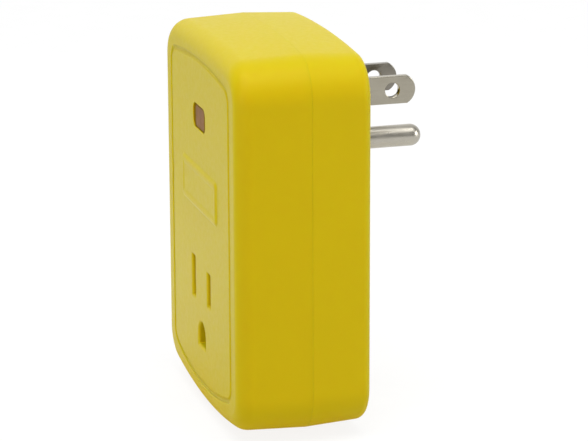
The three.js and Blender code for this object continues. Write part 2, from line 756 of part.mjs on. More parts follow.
function contactHousing() {
  const open = HOUSING.back - CUT_PAST;
  const end = HOUSING.front - POCKET.endWall;
  const mouths = OUTLET_OUTLINES.map((outline) => (
    slab(new THREE.Shape(outline(0)), end - CUT_PAST, HOUSING.front + CUT_PAST)
  ));
  const cut = [
    ...mouths,
    ...contactPocket(1, LINE_SLOT, open, end),
    ...contactPocket(-1, NEUTRAL_SLOT, open, end),
    groundPocket(open, end),
  ];
  return build(centredBlock(HOUSING_PLAN, HOUSING.back, HOUSING.front), { cut });
}

function contactCover() {
  const { x } = POCKET.ground;
  const low = GROUND_Z - COVER_CHANNEL.below;
  const top = HOUSING_PLAN.top + CUT_PAST;
  const back = UPPER_STRAP - COVER_CHANNEL.behind;
  const channel = block(-x, x, low, top, back, COVER.front + CUT_PAST);
  return build(centredBlock(HOUSING_PLAN, COVER.back, COVER.front), { cut: [channel] });
}

// ---------------------------------------------------------------- indicator

// A pane in the window on a wider flange behind the wall
function indicatorLens() {
  const { gap, rim, flangeCorner, flangeBack } = LENS;
  const { width, height, corner, z } = WINDOW;
  const pane = roundedRectangle(width - 2 * gap, height - 2 * gap, corner - gap, z);
  const flange = roundedRectangle(width + 2 * rim, height + 2 * rim, flangeCorner, z);
  const body = slab(pane, INNER_FACE - CUT_PAST, CASE_DEPTH - WINDOW.recess);
  return build(body, { join: [slab(flange, INNER_FACE - flangeBack, INNER_FACE - FIT_GAP)] });
}

function ledBaffle() {
  const plan = roundedRectangle(BAFFLE.width, BAFFLE.height, BAFFLE.corner, WINDOW.z);
  const legFront = BAFFLE.back + CUT_PAST;
  const join = [-BAFFLE_LEG.x, BAFFLE_LEG.x].map((x) => (
    bar(BAFFLE_LEG.radius, x, WINDOW.z, BAFFLE_LEG.end, legFront)
  ));
  const low = WINDOW.z - LAMP_ROOM.z;
  const high = WINDOW.z + LAMP_ROOM.z;
  const back = BAFFLE.back - CUT_PAST;
  const cut = [-LAMP_PITCH, 0, LAMP_PITCH].map((x) => (
    block(x - LAMP_ROOM.x, x + LAMP_ROOM.x, low, high, back, BAFFLE.front + CUT_PAST)
  ));
  return build(slab(plan, BAFFLE.back, BAFFLE.front), { join, cut });
}

// Standing on the board's front face at local y = 0 and facing -Y
function lamp() {
  const bodies = [LAMP_BASE, LAMP_LENS].map(({ halfWidth, halfHeight, back, front }) => (
    block(-halfWidth, halfWidth, -halfHeight, halfHeight, back, front)
  ));
  const leads = [-LAMP_LEAD, LAMP_LEAD].map((z) => (
    block(-LAMP_WIRE, LAMP_WIRE, z - LAMP_WIRE, z + LAMP_WIRE, -LEAD_TAIL, LAMP_LENS.back)
  ));
  return build(bodies[0], { join: [bodies[1], ...leads] });
}

// Two leads that run out of a body lying along X and turn down through the board
function bentLeads(height) {
  const rods = [];
  for (const side of [-1, 1]) {
    const x = side * LEAD_SPAN;
    const bend = -height - LEAD_RADIUS;
    rods.push(rod([side * LEAD_START, -height, 0], [x + side * LEAD_RADIUS, -height, 0], LEAD_RADIUS));
    rods.push(rod([x, bend, 0], [x, LEAD_TAIL, 0], LEAD_RADIUS));
  }
  return rods;
}

// A turned body lying along X on its leads, from half of its profile
function leadedPart(halfProfile, height) {
  const mirrored = halfProfile.map(([r, y]) => [r, -y]).reverse();
  const body = turned([...halfProfile, ...mirrored], SMALL_ROUND);
  body.rotateZ(Math.PI / 2).translate(0, -height, 0);
  return build(body, { join: bentLeads(height) });
}

function resistor() {
  return leadedPart(RESISTOR_PROFILE, RESISTOR_HEIGHT);
}

function diode() {
  return leadedPart(DIODE_PROFILE, DIODE_HEIGHT);
}

function boardHoles() {
  const drill = (radius, x, z) => bar(radius, x, z, BOARD.back - CUT_PAST, BOARD.front + CUT_PAST);
  const holes = BOARD_SCREWS.map(([x, z]) => drill(BOARD_POST.passage, x, z));
  for (const x of [-LAMP_PITCH, 0, LAMP_PITCH]) {
    for (const z of [-LAMP_LEAD, LAMP_LEAD]) holes.push(drill(2 * LEAD_RADIUS, x, WINDOW.z + z));
  }
  for (const x of [-BAFFLE_LEG.x, BAFFLE_LEG.x]) {
    holes.push(drill(BAFFLE_LEG.radius + FIT_GAP, x, WINDOW.z));
  }
  for (const column of PART_COLUMNS) {
    for (const z of [RESISTOR_Z, DIODE_Z]) {
      for (const x of [-LEAD_SPAN, LEAD_SPAN]) holes.push(drill(LEAD_HOLE, column + x, z));
    }
  }
  for (const wire of WIRES) holes.push(drill(WIRE_HOLE, wire.board, WIRE_BOARD_Z));
  return holes;
}

function circuitBoard() {
  return build(centredBlock(BOARD_PLAN, BOARD.back, BOARD.front), { cut: boardHoles() });
}

// An insulated lead from a board hole, ending just short of its contact strap
function boardWire({ board, strap }) {
  const [boardY, boardZ] = WIRE_BENDS.fromBoard;
  const [strapY, strapZ] = WIRE_BENDS.fromStrap;
  const path = new THREE.CatmullRomCurve3([
    new THREE.Vector3(board, WIRE_ENDS.board, WIRE_BOARD_Z),
    new THREE.Vector3(board, WIRE_ENDS.board + boardY, WIRE_BOARD_Z + boardZ),
    new THREE.Vector3((board + strap) / 2, WIRE_ENDS.strap + strapY, WIRE_STRAP_Z + strapZ),
    new THREE.Vector3(strap, WIRE_ENDS.strap, WIRE_STRAP_Z),
  ]);
  const ring = new THREE.Shape(arc(0, 0, WIRE_RADIUS, 0, 2 * Math.PI, FINE_ROUND));
  const sleeve = new THREE.ExtrudeGeometry(ring, { steps: WIRE_STEPS, extrudePath: path });
  const { front, back } = WIRE_CORE_ENDS;
  const core = rod([board, front, WIRE_BOARD_Z], [board, back, WIRE_BOARD_Z], WIRE_CORE);
  return build(sleeve, { join: [core] });
}

// ---------------------------------------------------------------- fasteners

// A pan-head screw with its head seat at local y = 0, its shank towards -Y and a cross recess
function panScrew({ shank, length, head, headHeight }) {
  const shoulder = headHeight * SCREW_SHARES.shoulder;
  const body = turned([
    [0, -length], [shank * SCREW_SHARES.point, -length], [shank, -length + shank], [shank, 0],
    [head, 0], [head, shoulder],
    [head * SCREW_SHARES.crown[0], headHeight * SCREW_SHARES.crown[1]], [0, headHeight],
  ], SCREW_ROUND);
  const arm = head * SCREW_SHARES.cross;
  const cut = [[arm, CROSS_HALF], [CROSS_HALF, arm]].map(([x, z]) => (
    block(-x, x, -z, z, -headHeight - CUT_PAST, -shoulder)
  ));
  return build(body, { cut });
}

// ---------------------------------------------------------------- assembly

function material(colour, roughness, metalness = 0) {
  return new THREE.MeshStandardMaterial({ color: colour, roughness, metalness });
}

const caseYellow = material('#c8aa14', 0.45);
const nickel = material('#a8a49a', 0.32, 1);
const brass = material('#b08d3e', 0.35, 1);
const zincSteel = material('#9fa2a3', 0.4, 1);
const blackPlastic = material('#1e1e20', 0.6);
const whitePlastic = material('#d9d6cc', 0.55);
const lensAmber = material('#8a6a48', 0.25);
const boardGreen = material('#2c5b38', 0.5);

function place(parent, name, geometry, finish, position = [0, 0, 0]) {
  const mesh = new THREE.Mesh(geometry, finish);
  mesh.name = name;
  mesh.position.set(...position);
  parent.add(mesh);
  return mesh;
}

function caseGroup() {
  const group = new THREE.Group();
  place(group, 'front_shell', frontShell(), caseYellow);
  place(group, 'rear_shell', rearShell(), caseYellow);
  CASE_SCREWS.forEach(([x, z], i) => {
    place(group, `case_screw_${i + 1}`, panScrew(CASE_SCREW), zincSteel, [x, -CASE_SCREW.seat, z]);
  });
  return group;
}

function plugGroup() {
  const group = new THREE.Group();
  place(group, 'line_blade', blade(1), nickel);
  place(group, 'neutral_blade', blade(-1), nickel);
  place(group, 'ground_pin', groundPin(), nickel);
  place(group, 'line_rivet', rivet(), brass, [RIVET_X, 0, 0]);
  place(group, 'neutral_rivet', rivet(), brass, [-RIVET_X, 0, 0]);
  place(group, 'blade_holder', bladeHolder(), blackPlastic);
  place(group, 'blade_clamp', bladeClamp(), blackPlastic);
  CLAMP_SCREWS.forEach(([x, z], i) => {
    const seat = [x, -CLAMP.front - SEAT_GAP, z];
    const screw = place(group, `clamp_screw_${i + 1}`, panScrew(CLAMP_SCREW), zincSteel, seat);
    screw.rotation.z = Math.PI;
  });
  return group;
}

function receptacleGroup() {
  const group = new THREE.Group();
  place(group, 'contact_housing', contactHousing(), whitePlastic);
  place(group, 'contact_cover', contactCover(), whitePlastic);
  place(group, 'line_contact', bladeContact(1), brass);
  place(group, 'neutral_contact', bladeContact(-1), brass);
  place(group, 'ground_contact', groundContact(), brass);
  return group;
}

function indicatorGroup() {
  const group = new THREE.Group();
  const front = -BOARD.front;
  place(group, 'indicator_lens', indicatorLens(), lensAmber);
  place(group, 'led_baffle', ledBaffle(), blackPlastic);
  place(group, 'circuit_board', circuitBoard(), boardGreen);
  const lamps = [['led_left', '#c8862a'], ['led_centre', '#c8862a'], ['led_right', '#a82a1e']];
  lamps.forEach(([name, colour], i) => {
    place(group, name, lamp(), material(colour, 0.25), [(i - 1) * LAMP_PITCH, front, WINDOW.z]);
  });
  PART_COLUMNS.forEach((x, i) => {
    place(group, `resistor_${i + 1}`, resistor(), material('#b99a6b', 0.5), [x, front, RESISTOR_Z]);
    place(group, `diode_${i + 1}`, diode(), blackPlastic, [x, front, DIODE_Z]);
  });
  for (const wire of WIRES) place(group, wire.name, boardWire(wire), material(wire.colour, 0.5));
  BOARD_SCREWS.forEach(([x, z], i) => {
    const seat = [x, SEAT_GAP - BOARD.back, z];
    place(group, `board_screw_${i + 1}`, panScrew(BOARD_SCREW), zincSteel, seat);
  });
  return group;
}

const outletTester = new THREE.Group();
outletTester.add(caseGroup(), plugGroup(), receptacleGroup(), indicatorGroup());

export default outletTester;
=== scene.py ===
"""Looks for the plug-through outlet tester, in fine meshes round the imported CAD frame.

The shells, prongs, lens and case screws are drawn anew; the inner pieces keep their CAD meshes.
Lengths are in millimetres until a piece is finished, and metres in the scene.
X is right seen from the front, Y points to the wall and Z is up; the rear face is y = 0.
"""

import json
import math

import bmesh
import bpy
from mathutils import Matrix, Quaternion, Vector


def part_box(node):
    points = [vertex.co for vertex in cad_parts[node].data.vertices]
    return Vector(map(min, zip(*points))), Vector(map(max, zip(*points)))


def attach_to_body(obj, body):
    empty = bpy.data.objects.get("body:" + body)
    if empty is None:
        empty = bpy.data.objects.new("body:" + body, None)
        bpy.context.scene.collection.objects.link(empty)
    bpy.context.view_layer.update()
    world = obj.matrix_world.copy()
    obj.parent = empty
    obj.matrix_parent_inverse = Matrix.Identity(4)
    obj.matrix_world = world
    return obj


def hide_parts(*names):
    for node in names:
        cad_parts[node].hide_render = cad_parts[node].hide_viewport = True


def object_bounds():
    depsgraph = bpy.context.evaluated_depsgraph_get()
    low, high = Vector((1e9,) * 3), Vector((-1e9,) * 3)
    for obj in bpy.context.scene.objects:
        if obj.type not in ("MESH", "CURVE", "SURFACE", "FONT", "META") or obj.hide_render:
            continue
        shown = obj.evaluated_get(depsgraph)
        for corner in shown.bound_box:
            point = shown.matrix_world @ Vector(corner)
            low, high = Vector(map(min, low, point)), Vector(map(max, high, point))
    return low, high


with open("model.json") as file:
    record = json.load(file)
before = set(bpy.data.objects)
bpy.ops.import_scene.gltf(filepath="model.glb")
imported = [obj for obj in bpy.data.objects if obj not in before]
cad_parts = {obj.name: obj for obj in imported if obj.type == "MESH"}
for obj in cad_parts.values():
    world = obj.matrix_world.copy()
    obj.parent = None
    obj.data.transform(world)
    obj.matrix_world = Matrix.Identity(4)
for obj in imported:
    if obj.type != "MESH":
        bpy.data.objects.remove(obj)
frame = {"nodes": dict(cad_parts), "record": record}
cad_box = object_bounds()

MM = 0.001
BODY = "root"


def box_mm(node):
    """Lowest and highest corner of a CAD node, in millimetres."""
    low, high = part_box(node)
    return low / MM, high / MM


# ------------------------------------------------------------------ sizes

FRONT_LOW, FRONT_HIGH = box_mm("front_shell")
BLADE_LOW, BLADE_HIGH = box_mm("line_blade")
PIN_LOW, PIN_HIGH = box_mm("ground_pin")
LENS_LOW, LENS_HIGH = box_mm("indicator_lens")

# Case outline: straight sides, arched top and bottom, round corners. CASE is in the order of
# half width, top, bottom, radius of the top, radius of the bottom and corner radius
HALF_WIDTH = FRONT_HIGH.x
TOP = FRONT_HIGH.z
BOTTOM = FRONT_LOW.z
TOP_RADIUS = 299
BOTTOM_RADIUS = 136
CORNER_RADIUS = 9.2
CASE = (HALF_WIDTH, TOP, BOTTOM, TOP_RADIUS, BOTTOM_RADIUS, CORNER_RADIUS)

# Case depths, as distances in front of the rear face, and the shells' walls and drafts
PLATE_PROUD = 0.4
FACE = -FRONT_LOW.y - PLATE_PROUD
SEAM = 13.1
SEAM_GAP = 0.006
SEAM_ROUND = 0.05
WALL = 2.2
FRONT_DRAFT = math.radians(2.5)
REAR_DRAFT = math.radians(3)
FRONT_FILLET = 4.0
FRONT_SIDE_REACH = 2.7
REAR_FILLET = 2.0

# Inside of the rear shell: its lip, and its side wall, which ends short of the seam
LIP_OUTSIDE = WALL + 0.4
LIP_INSIDE = WALL + 1.4
LIP_LENGTH = 1.9
REAR_SIDE_WALL = WALL + 0.2
REAR_INNER_FILLET = 1.2
REAR_INNER_SHORT = 2.5

# How far a cutter or a joined solid runs past the face it meets
OVERLAP = 0.6
OVERRUN = 1.0
THROUGH = WALL + OVERLAP

# Mesh details: rows down a side as shares of its length, sides of a round bar, the least corner
# radius, the radius that counts as on the axis, the distance within which points are merged, and
# the bevel of the edges of the CAD pieces
SIDE_ROWS = (0.25, 0.5, 0.75, 0.97)
BAR_STEPS = 36
SMALLEST_CORNER = 0.02
ON_AXIS = 1e-6
MERGE_DISTANCE = 0.002
SOFT_EDGE = 0.06

# Front panel. PANEL is in the order of CASE, GROOVE_BELLY is the depth of the groove's round
# bottom over its half width, and PLATE_SLOPE is the inset of the plate's foot and of its top
PANEL = (24.3, 8.2, -64.6, 150, 82, 4)
GROOVE_HALF = 0.45
GROOVE_DEPTH = 0.36
GROOVE_FLARE = 0.3
GROOVE_BELLY = 0.6
PLATE = {"z": -20.45, "width": 28.2, "height": 9.1, "corner": 1.0}
PLATE_RIM = 0.9
PLATE_SINK = 0.15
PLATE_FIELD_SLOPE = 0.9
PLATE_SLOPE = (-0.55, 0.5)
WINDOW = {"z": -4.8, "width": 10.2, "height": 5.4, "corner": 1.8}
WINDOW_ROUND = 0.08
LENS_GAP = 0.05
LENS_RIM = 0.4
LENS_FALL = 0.12
LENS_PANE = {"x": 0.4, "half": (3.3, 2.2), "corner": 1.0, "soft": 0.5}

# Receptacle
OUTLET_Z = -41.5
GROUND_DROP = 11.9
PRONG_X = 6.35
SLOT_WIDTH = 2.6
SLOT_CORNER = 0.2
LINE_SLOT = 7.4
NEUTRAL_SLOT = 9.2
GROUND_ARCH = 2.95
GROUND_FLAT = 2.65
GROUND_CORNER = 0.35
LEAD_IN = 0.6

# Prongs, and their openings in the rear face
BLADE_THICKNESS = 1.5
BLADE_EDGE = 0.2
BLADE_HALF = BLADE_HIGH.z
BLADE_TIP = BLADE_HIGH.y
BLADE_ROOT = BLADE_LOW.y
BLADE_SAGITTA = 1.8
BLADE_HOLE_Y = 11.7
BLADE_HOLE_RADIUS = 1.6
PIN_RADIUS = 2.39
PIN_TIP = PIN_HIGH.y
PIN_NOSE = 2.3
PRONG_GAP = 0.15
OPENING_CORNER = 0.3
OPENING_ROUND = 0.15

# Screw wells in the rear face, the towers round them and the case screws
WELL_RADIUS = 3.0
WELL_DEPTH = 4.0
WELL_ROUND = 0.25
TOWER_RADIUS = WELL_RADIUS + 1.2
TOWER_FRONT = 8.7
PASSAGE = 1.7
PASSAGE_BACK = WELL_DEPTH - 0.5
SCREW_HEAD_RADIUS = 2.7
SCREW_HEAD_HEIGHT = 1.9
SCREW_RIM = 0.7
SCREW_CHAMFER = 0.15
SCREW_CROWN = 0.8
SCREW_SHANK = 1.45
SCREW_TIP = {"radius": 0.7, "length": 1.4}
RECESS = {"size": (3.0, 0.75), "corner": 0.2, "floor": 0.75, "flare": 0.1, "taper": 0.12}
SCREWS = [f"case_screw_{i}" for i in range(1, 5)]

# Posts and ribs inside the shells. A post is (radius, free end, pilot radius, pilot end), with
# its ends as distances in front of the rear face
CASE_POST = (3.0, 9.0, 1.6, 21.0)
BOARD_POST = (2.4, 17.9, 1.25, 24.5)
CLAMP_POST = (3.0, 7.7, 1.5, 3.0)
RIB = {"gap": 0.3, "thickness": 1.2, "corner": 0.2, "housing_grip": 3.2}
COVER_RIB = {"x": 10.0, "half": 0.8, "corner": 0.1, "short_by": 2.0, "front": 5.2}

# Camera, solved from the photo
AZIMUTH = math.radians(73.708)
ELEVATION = math.radians(15.619)
LENS = 170
ROLL = math.radians(0.22)
AIM = Vector((5.74, -9.91, -27.49)) * MM
DISTANCE = 596 * MM

# Plastic: noise scales per metre and bump heights in metres. SPREAD_BY_COLOUR is how far red,
# green and blue light spread under the surface, as shares of the depth
MOTTLE_SCALE = 55
SATIN_SCALE = 900
WAVE_SCALE = 140
WAVE_HEIGHT = 0.0006
GRAIN_SCALE = 6500
GRAIN_HEIGHT = 0.00006
SPREAD_BY_COLOUR = (1.0, 0.7, 0.1)
GLANCING_POWER = 4.0

# Metal, in the same units. The stretches scale the axes, so streaks run along the small one
STREAK_SCALE = 1800
STREAK_HEIGHT = 0.00002
STAIN_SCALE = 350
DENT_SCALE = 600
DENT_HEIGHT = 0.0001
ALONG_Y = (1.0, 0.12, 1.0)
ALONG_Z = (1.0, 1.0, 0.1)
EVEN = (1.0, 1.0, 1.0)

# Circuit board, resistors and lens
TRACE_SCALE = 260.0
TRACE_EDGES = (0.02, 0.06)
TRACE_HEIGHT = 0.00005
SOLDER_MASK = (0.02, 0.10, 0.035)
MASKED_COPPER = (0.05, 0.2, 0.07)
RESISTOR_LACQUER = (0.55, 0.40, 0.22)
RESISTOR_BAND_HALF = 0.022
RESISTOR_BANDS = [
    # (place along the body, colour)
    (0.34, (0.25, 0.08, 0.02)),
    (0.43, (0.02, 0.02, 0.02)),
    (0.52, (0.65, 0.25, 0.02)),
    (0.66, (0.55, 0.42, 0.12)),
]
CLOUD_SCALE = 420
SMOKE = (0.165, 0.063, 0.005)
SMOKE_LIGHT = (0.225, 0.09, 0.009)
# Painted shade: the lens's rim takes this colour, that of the window's wall in shade
LENS_RIM_PAINTED_SHADE = (0.21, 0.12, 0.004)
LENS_RIB_SCALE = 900
LENS_RIB_HEIGHT = 0.0002
LENS_SPECULAR = 0.06

# Colours in linear red, green and blue
YELLOW = (0.54, 0.387, 0.002)
YELLOW_SHADE = (0.525, 0.374, 0.002)
# Painted sheen: the greener yellow that the case turns to where it is seen along its surface
YELLOW_GLANCING_SHEEN = (0.53, 0.425, 0.002)
YELLOW_SHEEN = (1.0, 0.85, 0.27)
METALS = {
    # name: (colour, shade, roughness, stretch, strength of the streaks)
    # a darker copy of the nickel: painted shade for the far prong, which lies in the near prong's
    # shade
    "nickel_in_painted_shade": ((0.27, 0.25, 0.21), (0.23, 0.214, 0.178), 0.18, ALONG_Y, 0.25),
    "nickel_plate": ((0.435, 0.405, 0.325), (0.40, 0.37, 0.295), 0.18, ALONG_Y, 0.25),
    "pin_plate": ((0.56, 0.53, 0.455), (0.51, 0.48, 0.41), 0.3, ALONG_Y, 0.1),
    "zinc_plate": ((0.62, 0.63, 0.64), (0.50, 0.51, 0.53), 0.35, EVEN, 0.25),
    "brass_strip": ((0.72, 0.50, 0.19), (0.60, 0.40, 0.14), 0.3, ALONG_Z, 0.25),
}
PLASTICS = {
    # slot in the record: (name, colour, shade, roughness)
    "black_insulator": ("black_plastic", (0.012, 0.012, 0.013), (0.02, 0.02, 0.022), 0.5),
    "white_insulator": ("white_plastic", (0.68, 0.65, 0.58), (0.62, 0.59, 0.52), 0.5),
    "lamp_amber": ("amber_lamp", (0.62, 0.24, 0.02), (0.55, 0.2, 0.02), 0.2),
    "lamp_red": ("red_lamp", (0.42, 0.02, 0.012), (0.36, 0.015, 0.01), 0.2),
    "diode": ("diode_body", (0.01, 0.01, 0.011), (0.018, 0.018, 0.018), 0.4),
    "wire_black": ("black_sleeve", (0.012, 0.012, 0.012), (0.02, 0.02, 0.02), 0.45),
    "wire_white": ("white_sleeve", (0.75, 0.73, 0.68), (0.7, 0.68, 0.62), 0.45),
    "wire_green": ("green_sleeve", (0.015, 0.16, 0.04), (0.012, 0.13, 0.03), 0.45),
}

# Radiance of the floor and the tent, where a white surface in full light is 1. The object sees a
# floor that is brighter to its left and before it, yellow close to the case, and a tent that
# brightens to the left. The camera sees both as even and pale
FLOOR_GLOW_LEFT = 0.90
FLOOR_GLOW_RIGHT = 0.45
FLOOR_GLOW_FAR = 0.25
FLOOR_TONE = 0.30
FLOOR_SEEN = 0.86
YELLOW_BOUNCE = (1.0, 0.72, 0.1)
WORLD_SEEN = 1.0
TENT_DARK = 0.3
TENT_BRIGHT = 1.1

# Where the floor's glow fades along X or Y, how far the yellow reaches, and the floor's plane
# and texture, in metres
GLOW_LEFT_FADE = (-0.10, 0.05)
GLOW_FAR_FADE = (-0.26, -0.12)
GLOW_BEFORE_FADE = (-0.02, 0.06)
BOUNCE_REACH = 0.02
FLOOR_HALF = 6.0
FLOOR_GAP = 0.0002
FIBRE_SCALE = 700
FIBRE_HEIGHT = 0.0003

LIGHTS = {
    # name: (direction to the light, distance m, size m, power W)
    "overhead_box": ((0.30, -0.18, 0.937), 1.1, 0.9, 10.2),
    "rear_overhead_box": ((0.38, 0.29, 0.88), 1.1, 0.8, 1.9),
    "camera_box": ((0.70, -0.68, 0.2), 1.4, 0.7, 4.4),
    "rear_box": ((0.45, 0.85, 0.25), 1.4, 0.6, 6.0),
}


# ------------------------------------------------------------------ outlines


def arc(centre_x, centre_z, radius, start, end, steps):
    """Points along an arc, without its last point."""
    angles = [start + (end - start) * i / steps for i in range(steps)]
    return [(centre_x + radius * math.cos(a), centre_z + radius * math.sin(a)) for a in angles]


def arched_outline(sizes, inset=0.0, corner_steps=14, arch_steps=28):
    """Straight sides, arched top and bottom, and corners tangent to both, moved in by inset."""
    half, top, bottom, top_radius, bottom_radius, corner_radius = sizes
    corner_x = half - corner_radius
    top_centre = top - top_radius
    bottom_centre = bottom + bottom_radius
    up_z = top_centre + math.sqrt((top_radius - corner_radius) ** 2 - corner_x**2)
    down_z = bottom_centre - math.sqrt((bottom_radius - corner_radius) ** 2 - corner_x**2)
    up = math.atan2(up_z - top_centre, corner_x)
    down = math.atan2(bottom_centre - down_z, corner_x)
    corner = corner_radius - inset
    pi = math.pi
    side_steps = 8
    points = arc(corner_x, up_z, corner, 0, up, corner_steps)
    points += arc(0, top_centre, top_radius - inset, up, pi - up, arch_steps)
    points += arc(-corner_x, up_z, corner, pi - up, pi, corner_steps)
    points += straight((-corner_x - corner, up_z), (-corner_x - corner, down_z), side_steps)
    points += arc(-corner_x, down_z, corner, pi, pi + down, corner_steps)
    points += arc(0, bottom_centre, bottom_radius - inset, pi + down, 2 * pi - down, arch_steps)
    points += arc(corner_x, down_z, corner, 2 * pi - down, 2 * pi, corner_steps)
    points += straight((corner_x + corner, down_z), (corner_x + corner, up_z), side_steps)
    return points


def straight(start, end, steps):
    """Points along a line, without its last point."""
    return [
        (start[0] + (end[0] - start[0]) * i / steps, start[1] + (end[1] - start[1]) * i / steps)
        for i in range(steps)
    ]


def rounded_rectangle(width, height, radius, centre=(0, 0), inset=0.0, steps=6):
    """A rectangle with round corners, moved in by inset, or out where inset is below 0."""
    corner = max(radius - inset, SMALLEST_CORNER)
    x = width / 2 - inset - corner
    z = height / 2 - inset - corner
    quarter = math.pi / 2
    points = []
    for i, (sign_x, sign_z) in enumerate([(1, 1), (-1, 1), (-1, -1), (1, -1)]):
        cx = centre[0] + sign_x * x
        cz = centre[1] + sign_z * z
        points += arc(cx, cz, corner, i * quarter, (i + 1) * quarter, steps)
        angle = (i + 1) * quarter
        points.append((cx + corner * math.cos(angle), cz + corner * math.sin(angle)))
    return points


def ground_outline(inset=0.0):
    """The ground opening: a round arch over a flat floor."""
    centre_z = OUTLET_Z - GROUND_DROP
    radius = GROUND_ARCH - inset
    floor = centre_z - GROUND_FLAT + inset
    corner = GROUND_CORNER
    points = arc(0, centre_z, radius, 0, math.pi, 24)
    points.append((-radius, centre_z))
    points += arc(-radius + corner, floor + corner, corner, math.pi, 1.5 * math.pi, 4)
    points.append((-radius + corner, floor))
    points += arc(radius - corner, floor + corner, corner, 1.5 * math.pi, 2 * math.pi, 4)
    points.append((radius, floor + corner))
    return points


def circle(radius, centre=(0, 0), steps=48):
    """Points round a circle."""
    return arc(centre[0], centre[1], radius, 0, 2 * math.pi, steps)


def round_outline(radius, centre, steps=48):
    """A circle as a function of its inset."""
    return lambda inset: circle(radius - inset, centre, steps)


def box_outline(width, height, corner, centre, steps=6):
    """A rounded rectangle as a function of its inset."""
    return lambda inset: rounded_rectangle(width, height, corner, centre, inset, steps)


def quarter_turn(steps, start=1):
    """Angles up to a quarter turn in equal steps, from the numbered one on."""
    return [math.pi / 2 * i / steps for i in range(start, steps + 1)]


def eased(steps):
    """(share, height) along a slope from 0 to 1 that starts and ends level."""
    shares = [i / steps for i in range(steps + 1)]
    return [(share, (1 - math.cos(math.pi * share)) / 2) for share in shares]


# ------------------------------------------------------------------ meshes


def new_object(name, data):
    """Puts mesh, curve, light or camera data into the scene."""
    piece = bpy.data.objects.new(name, data)
    bpy.context.scene.collection.objects.link(piece)
    return piece


def mesh_object(name, bm):
    """Turns a finished bmesh into an object with its faces pointing outwards."""
    bmesh.ops.recalc_face_normals(bm, faces=bm.faces)
    mesh = bpy.data.meshes.new(name)
    bm.to_mesh(mesh)
    bm.free()
    return new_object(name, mesh)


def loft(name, outline, profile, closed=False):
    """A solid through rings: outline(inset) gives (x, z) points and profile is [(inset, y)].

    Rows may carry a third value for outlines that take one. An open profile is closed by a flat
    face at each end; a closed one runs back to its start.
    """
    bm = bmesh.new()
    rings = [
        [bm.verts.new((x, y, z)) for x, z in outline(inset, *more)] for inset, y, *more in profile
    ]
    count = len(rings[0])
    pairs = list(zip(rings, rings[1:]))
    if closed:
        pairs.append((rings[-1], rings[0]))
    for near, far in pairs:
        for i in range(count):
            j = (i + 1) % count
            bm.faces.new((near[i], far[i], far[j], near[j]))
    if not closed:
        bm.faces.new(rings[0])
        bm.faces.new(list(reversed(rings[-1])))
    return mesh_object(name, bm)


def lathe(name, profile, steps=64):
    """A solid turned about the Y axis from [(radius, y)], starting and ending on the axis."""
    bm = bmesh.new()
    rings = []
    for radius, y in profile:
        if radius < ON_AXIS:
            rings.append([bm.verts.new((0, y, 0))])
        else:
            rings.append([bm.verts.new((x, y, z)) for x, z in circle(radius, steps=steps)])
    for near, far in zip(rings, rings[1:]):
        for i in range(steps):
            j = (i + 1) % steps
            round_face = [(near, i), (far, i), (far, j), (near, j)]
            corners = [ring[step % len(ring)] for ring, step in round_face]
            bm.faces.new(list(dict.fromkeys(corners)))
    return mesh_object(name, bm)


def boolean(piece, others, operation):
    """Cuts the others out of piece, or joins them to it, and deletes them."""
    for other in others:
        modifier = piece.modifiers.new("boolean", "BOOLEAN")
        modifier.operation = operation
        modifier.solver = "EXACT"
        modifier.object = other
        graph = bpy.context.evaluated_depsgraph_get()
        result = bpy.data.meshes.new_from_object(piece.evaluated_get(graph))
        piece.modifiers.clear()
        piece.data = result
        bpy.data.objects.remove(other)
    return piece


def finish_mesh(piece, sharp_angle=35):
    """Merges doubles, scales to metres and smooths all but the edges over sharp_angle degrees."""
    bm = bmesh.new()
    bm.from_mesh(piece.data)
    bmesh.ops.remove_doubles(bm, verts=bm.verts, dist=MERGE_DISTANCE)
    limit = math.radians(sharp_angle)
    for face in bm.faces:
        face.smooth = True
    for edge in bm.edges:
        edge.smooth = not edge.is_manifold or edge.calc_face_angle(0) < limit
    bm.to_mesh(piece.data)
    bm.free()
    piece.data.transform(Matrix.Scale(MM, 4))
    weighted = piece.modifiers.new("weighted_normals", "WEIGHTED_NORMAL")
    weighted.mode = "FACE_AREA"
    weighted.weight = 80
    weighted.keep_sharp = True
    return piece


def attach(piece, material, slot, *stands_for):
    """Gives a finished piece its material and hangs it on the case."""
    piece.data.materials.clear()
    piece.data.materials.append(material)
    if stands_for:
        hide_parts(*stands_for)
    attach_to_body(piece, BODY)
    return piece


# ------------------------------------------------------------------ profiles


def side_profile(face, seam, draft, radius, inset, steps, side_reach=None):
    """(inset, y, widening) from a flat face, round its fillet and down the drafted side.

    Where side_reach is given, the fillet reaches in only that far on the upright sides. The
    widening is how far a ring moves out there, and is left off down the side.
    """
    to_face = math.copysign(1, face - seam)
    rise = abs(face - seam) - radius
    centre_inset = inset + (radius + rise * math.sin(draft)) / math.cos(draft)
    centre_y = seam + to_face * rise
    tangent_inset = centre_inset - radius * math.cos(draft)
    narrowing = 1 - side_reach / radius if side_reach else 0.0
    points = []
    for i in range(steps + 1):
        angle = (math.pi / 2 - draft) * i / steps
        ring_inset = centre_inset - radius * math.sin(angle)
        ring_y = centre_y + to_face * radius * math.cos(angle)
        points.append((ring_inset, ring_y, (ring_inset - tangent_inset) * narrowing))
    last_inset, last_y, _ = points[-1]
    for share in SIDE_ROWS:
        points.append((last_inset + (inset - last_inset) * share, last_y + (seam - last_y) * share))
    return points


def seam_edge(seam, towards, inset_end):
    """The small round between a shell's side and its seam face; towards is the way to the face."""
    r = SEAM_ROUND
    points = [
        (r - r * math.cos(a), seam + towards * (r - r * math.sin(a)))
        for a in quarter_turn(4, start=0)
    ]
    return points + [(inset_end, seam)]


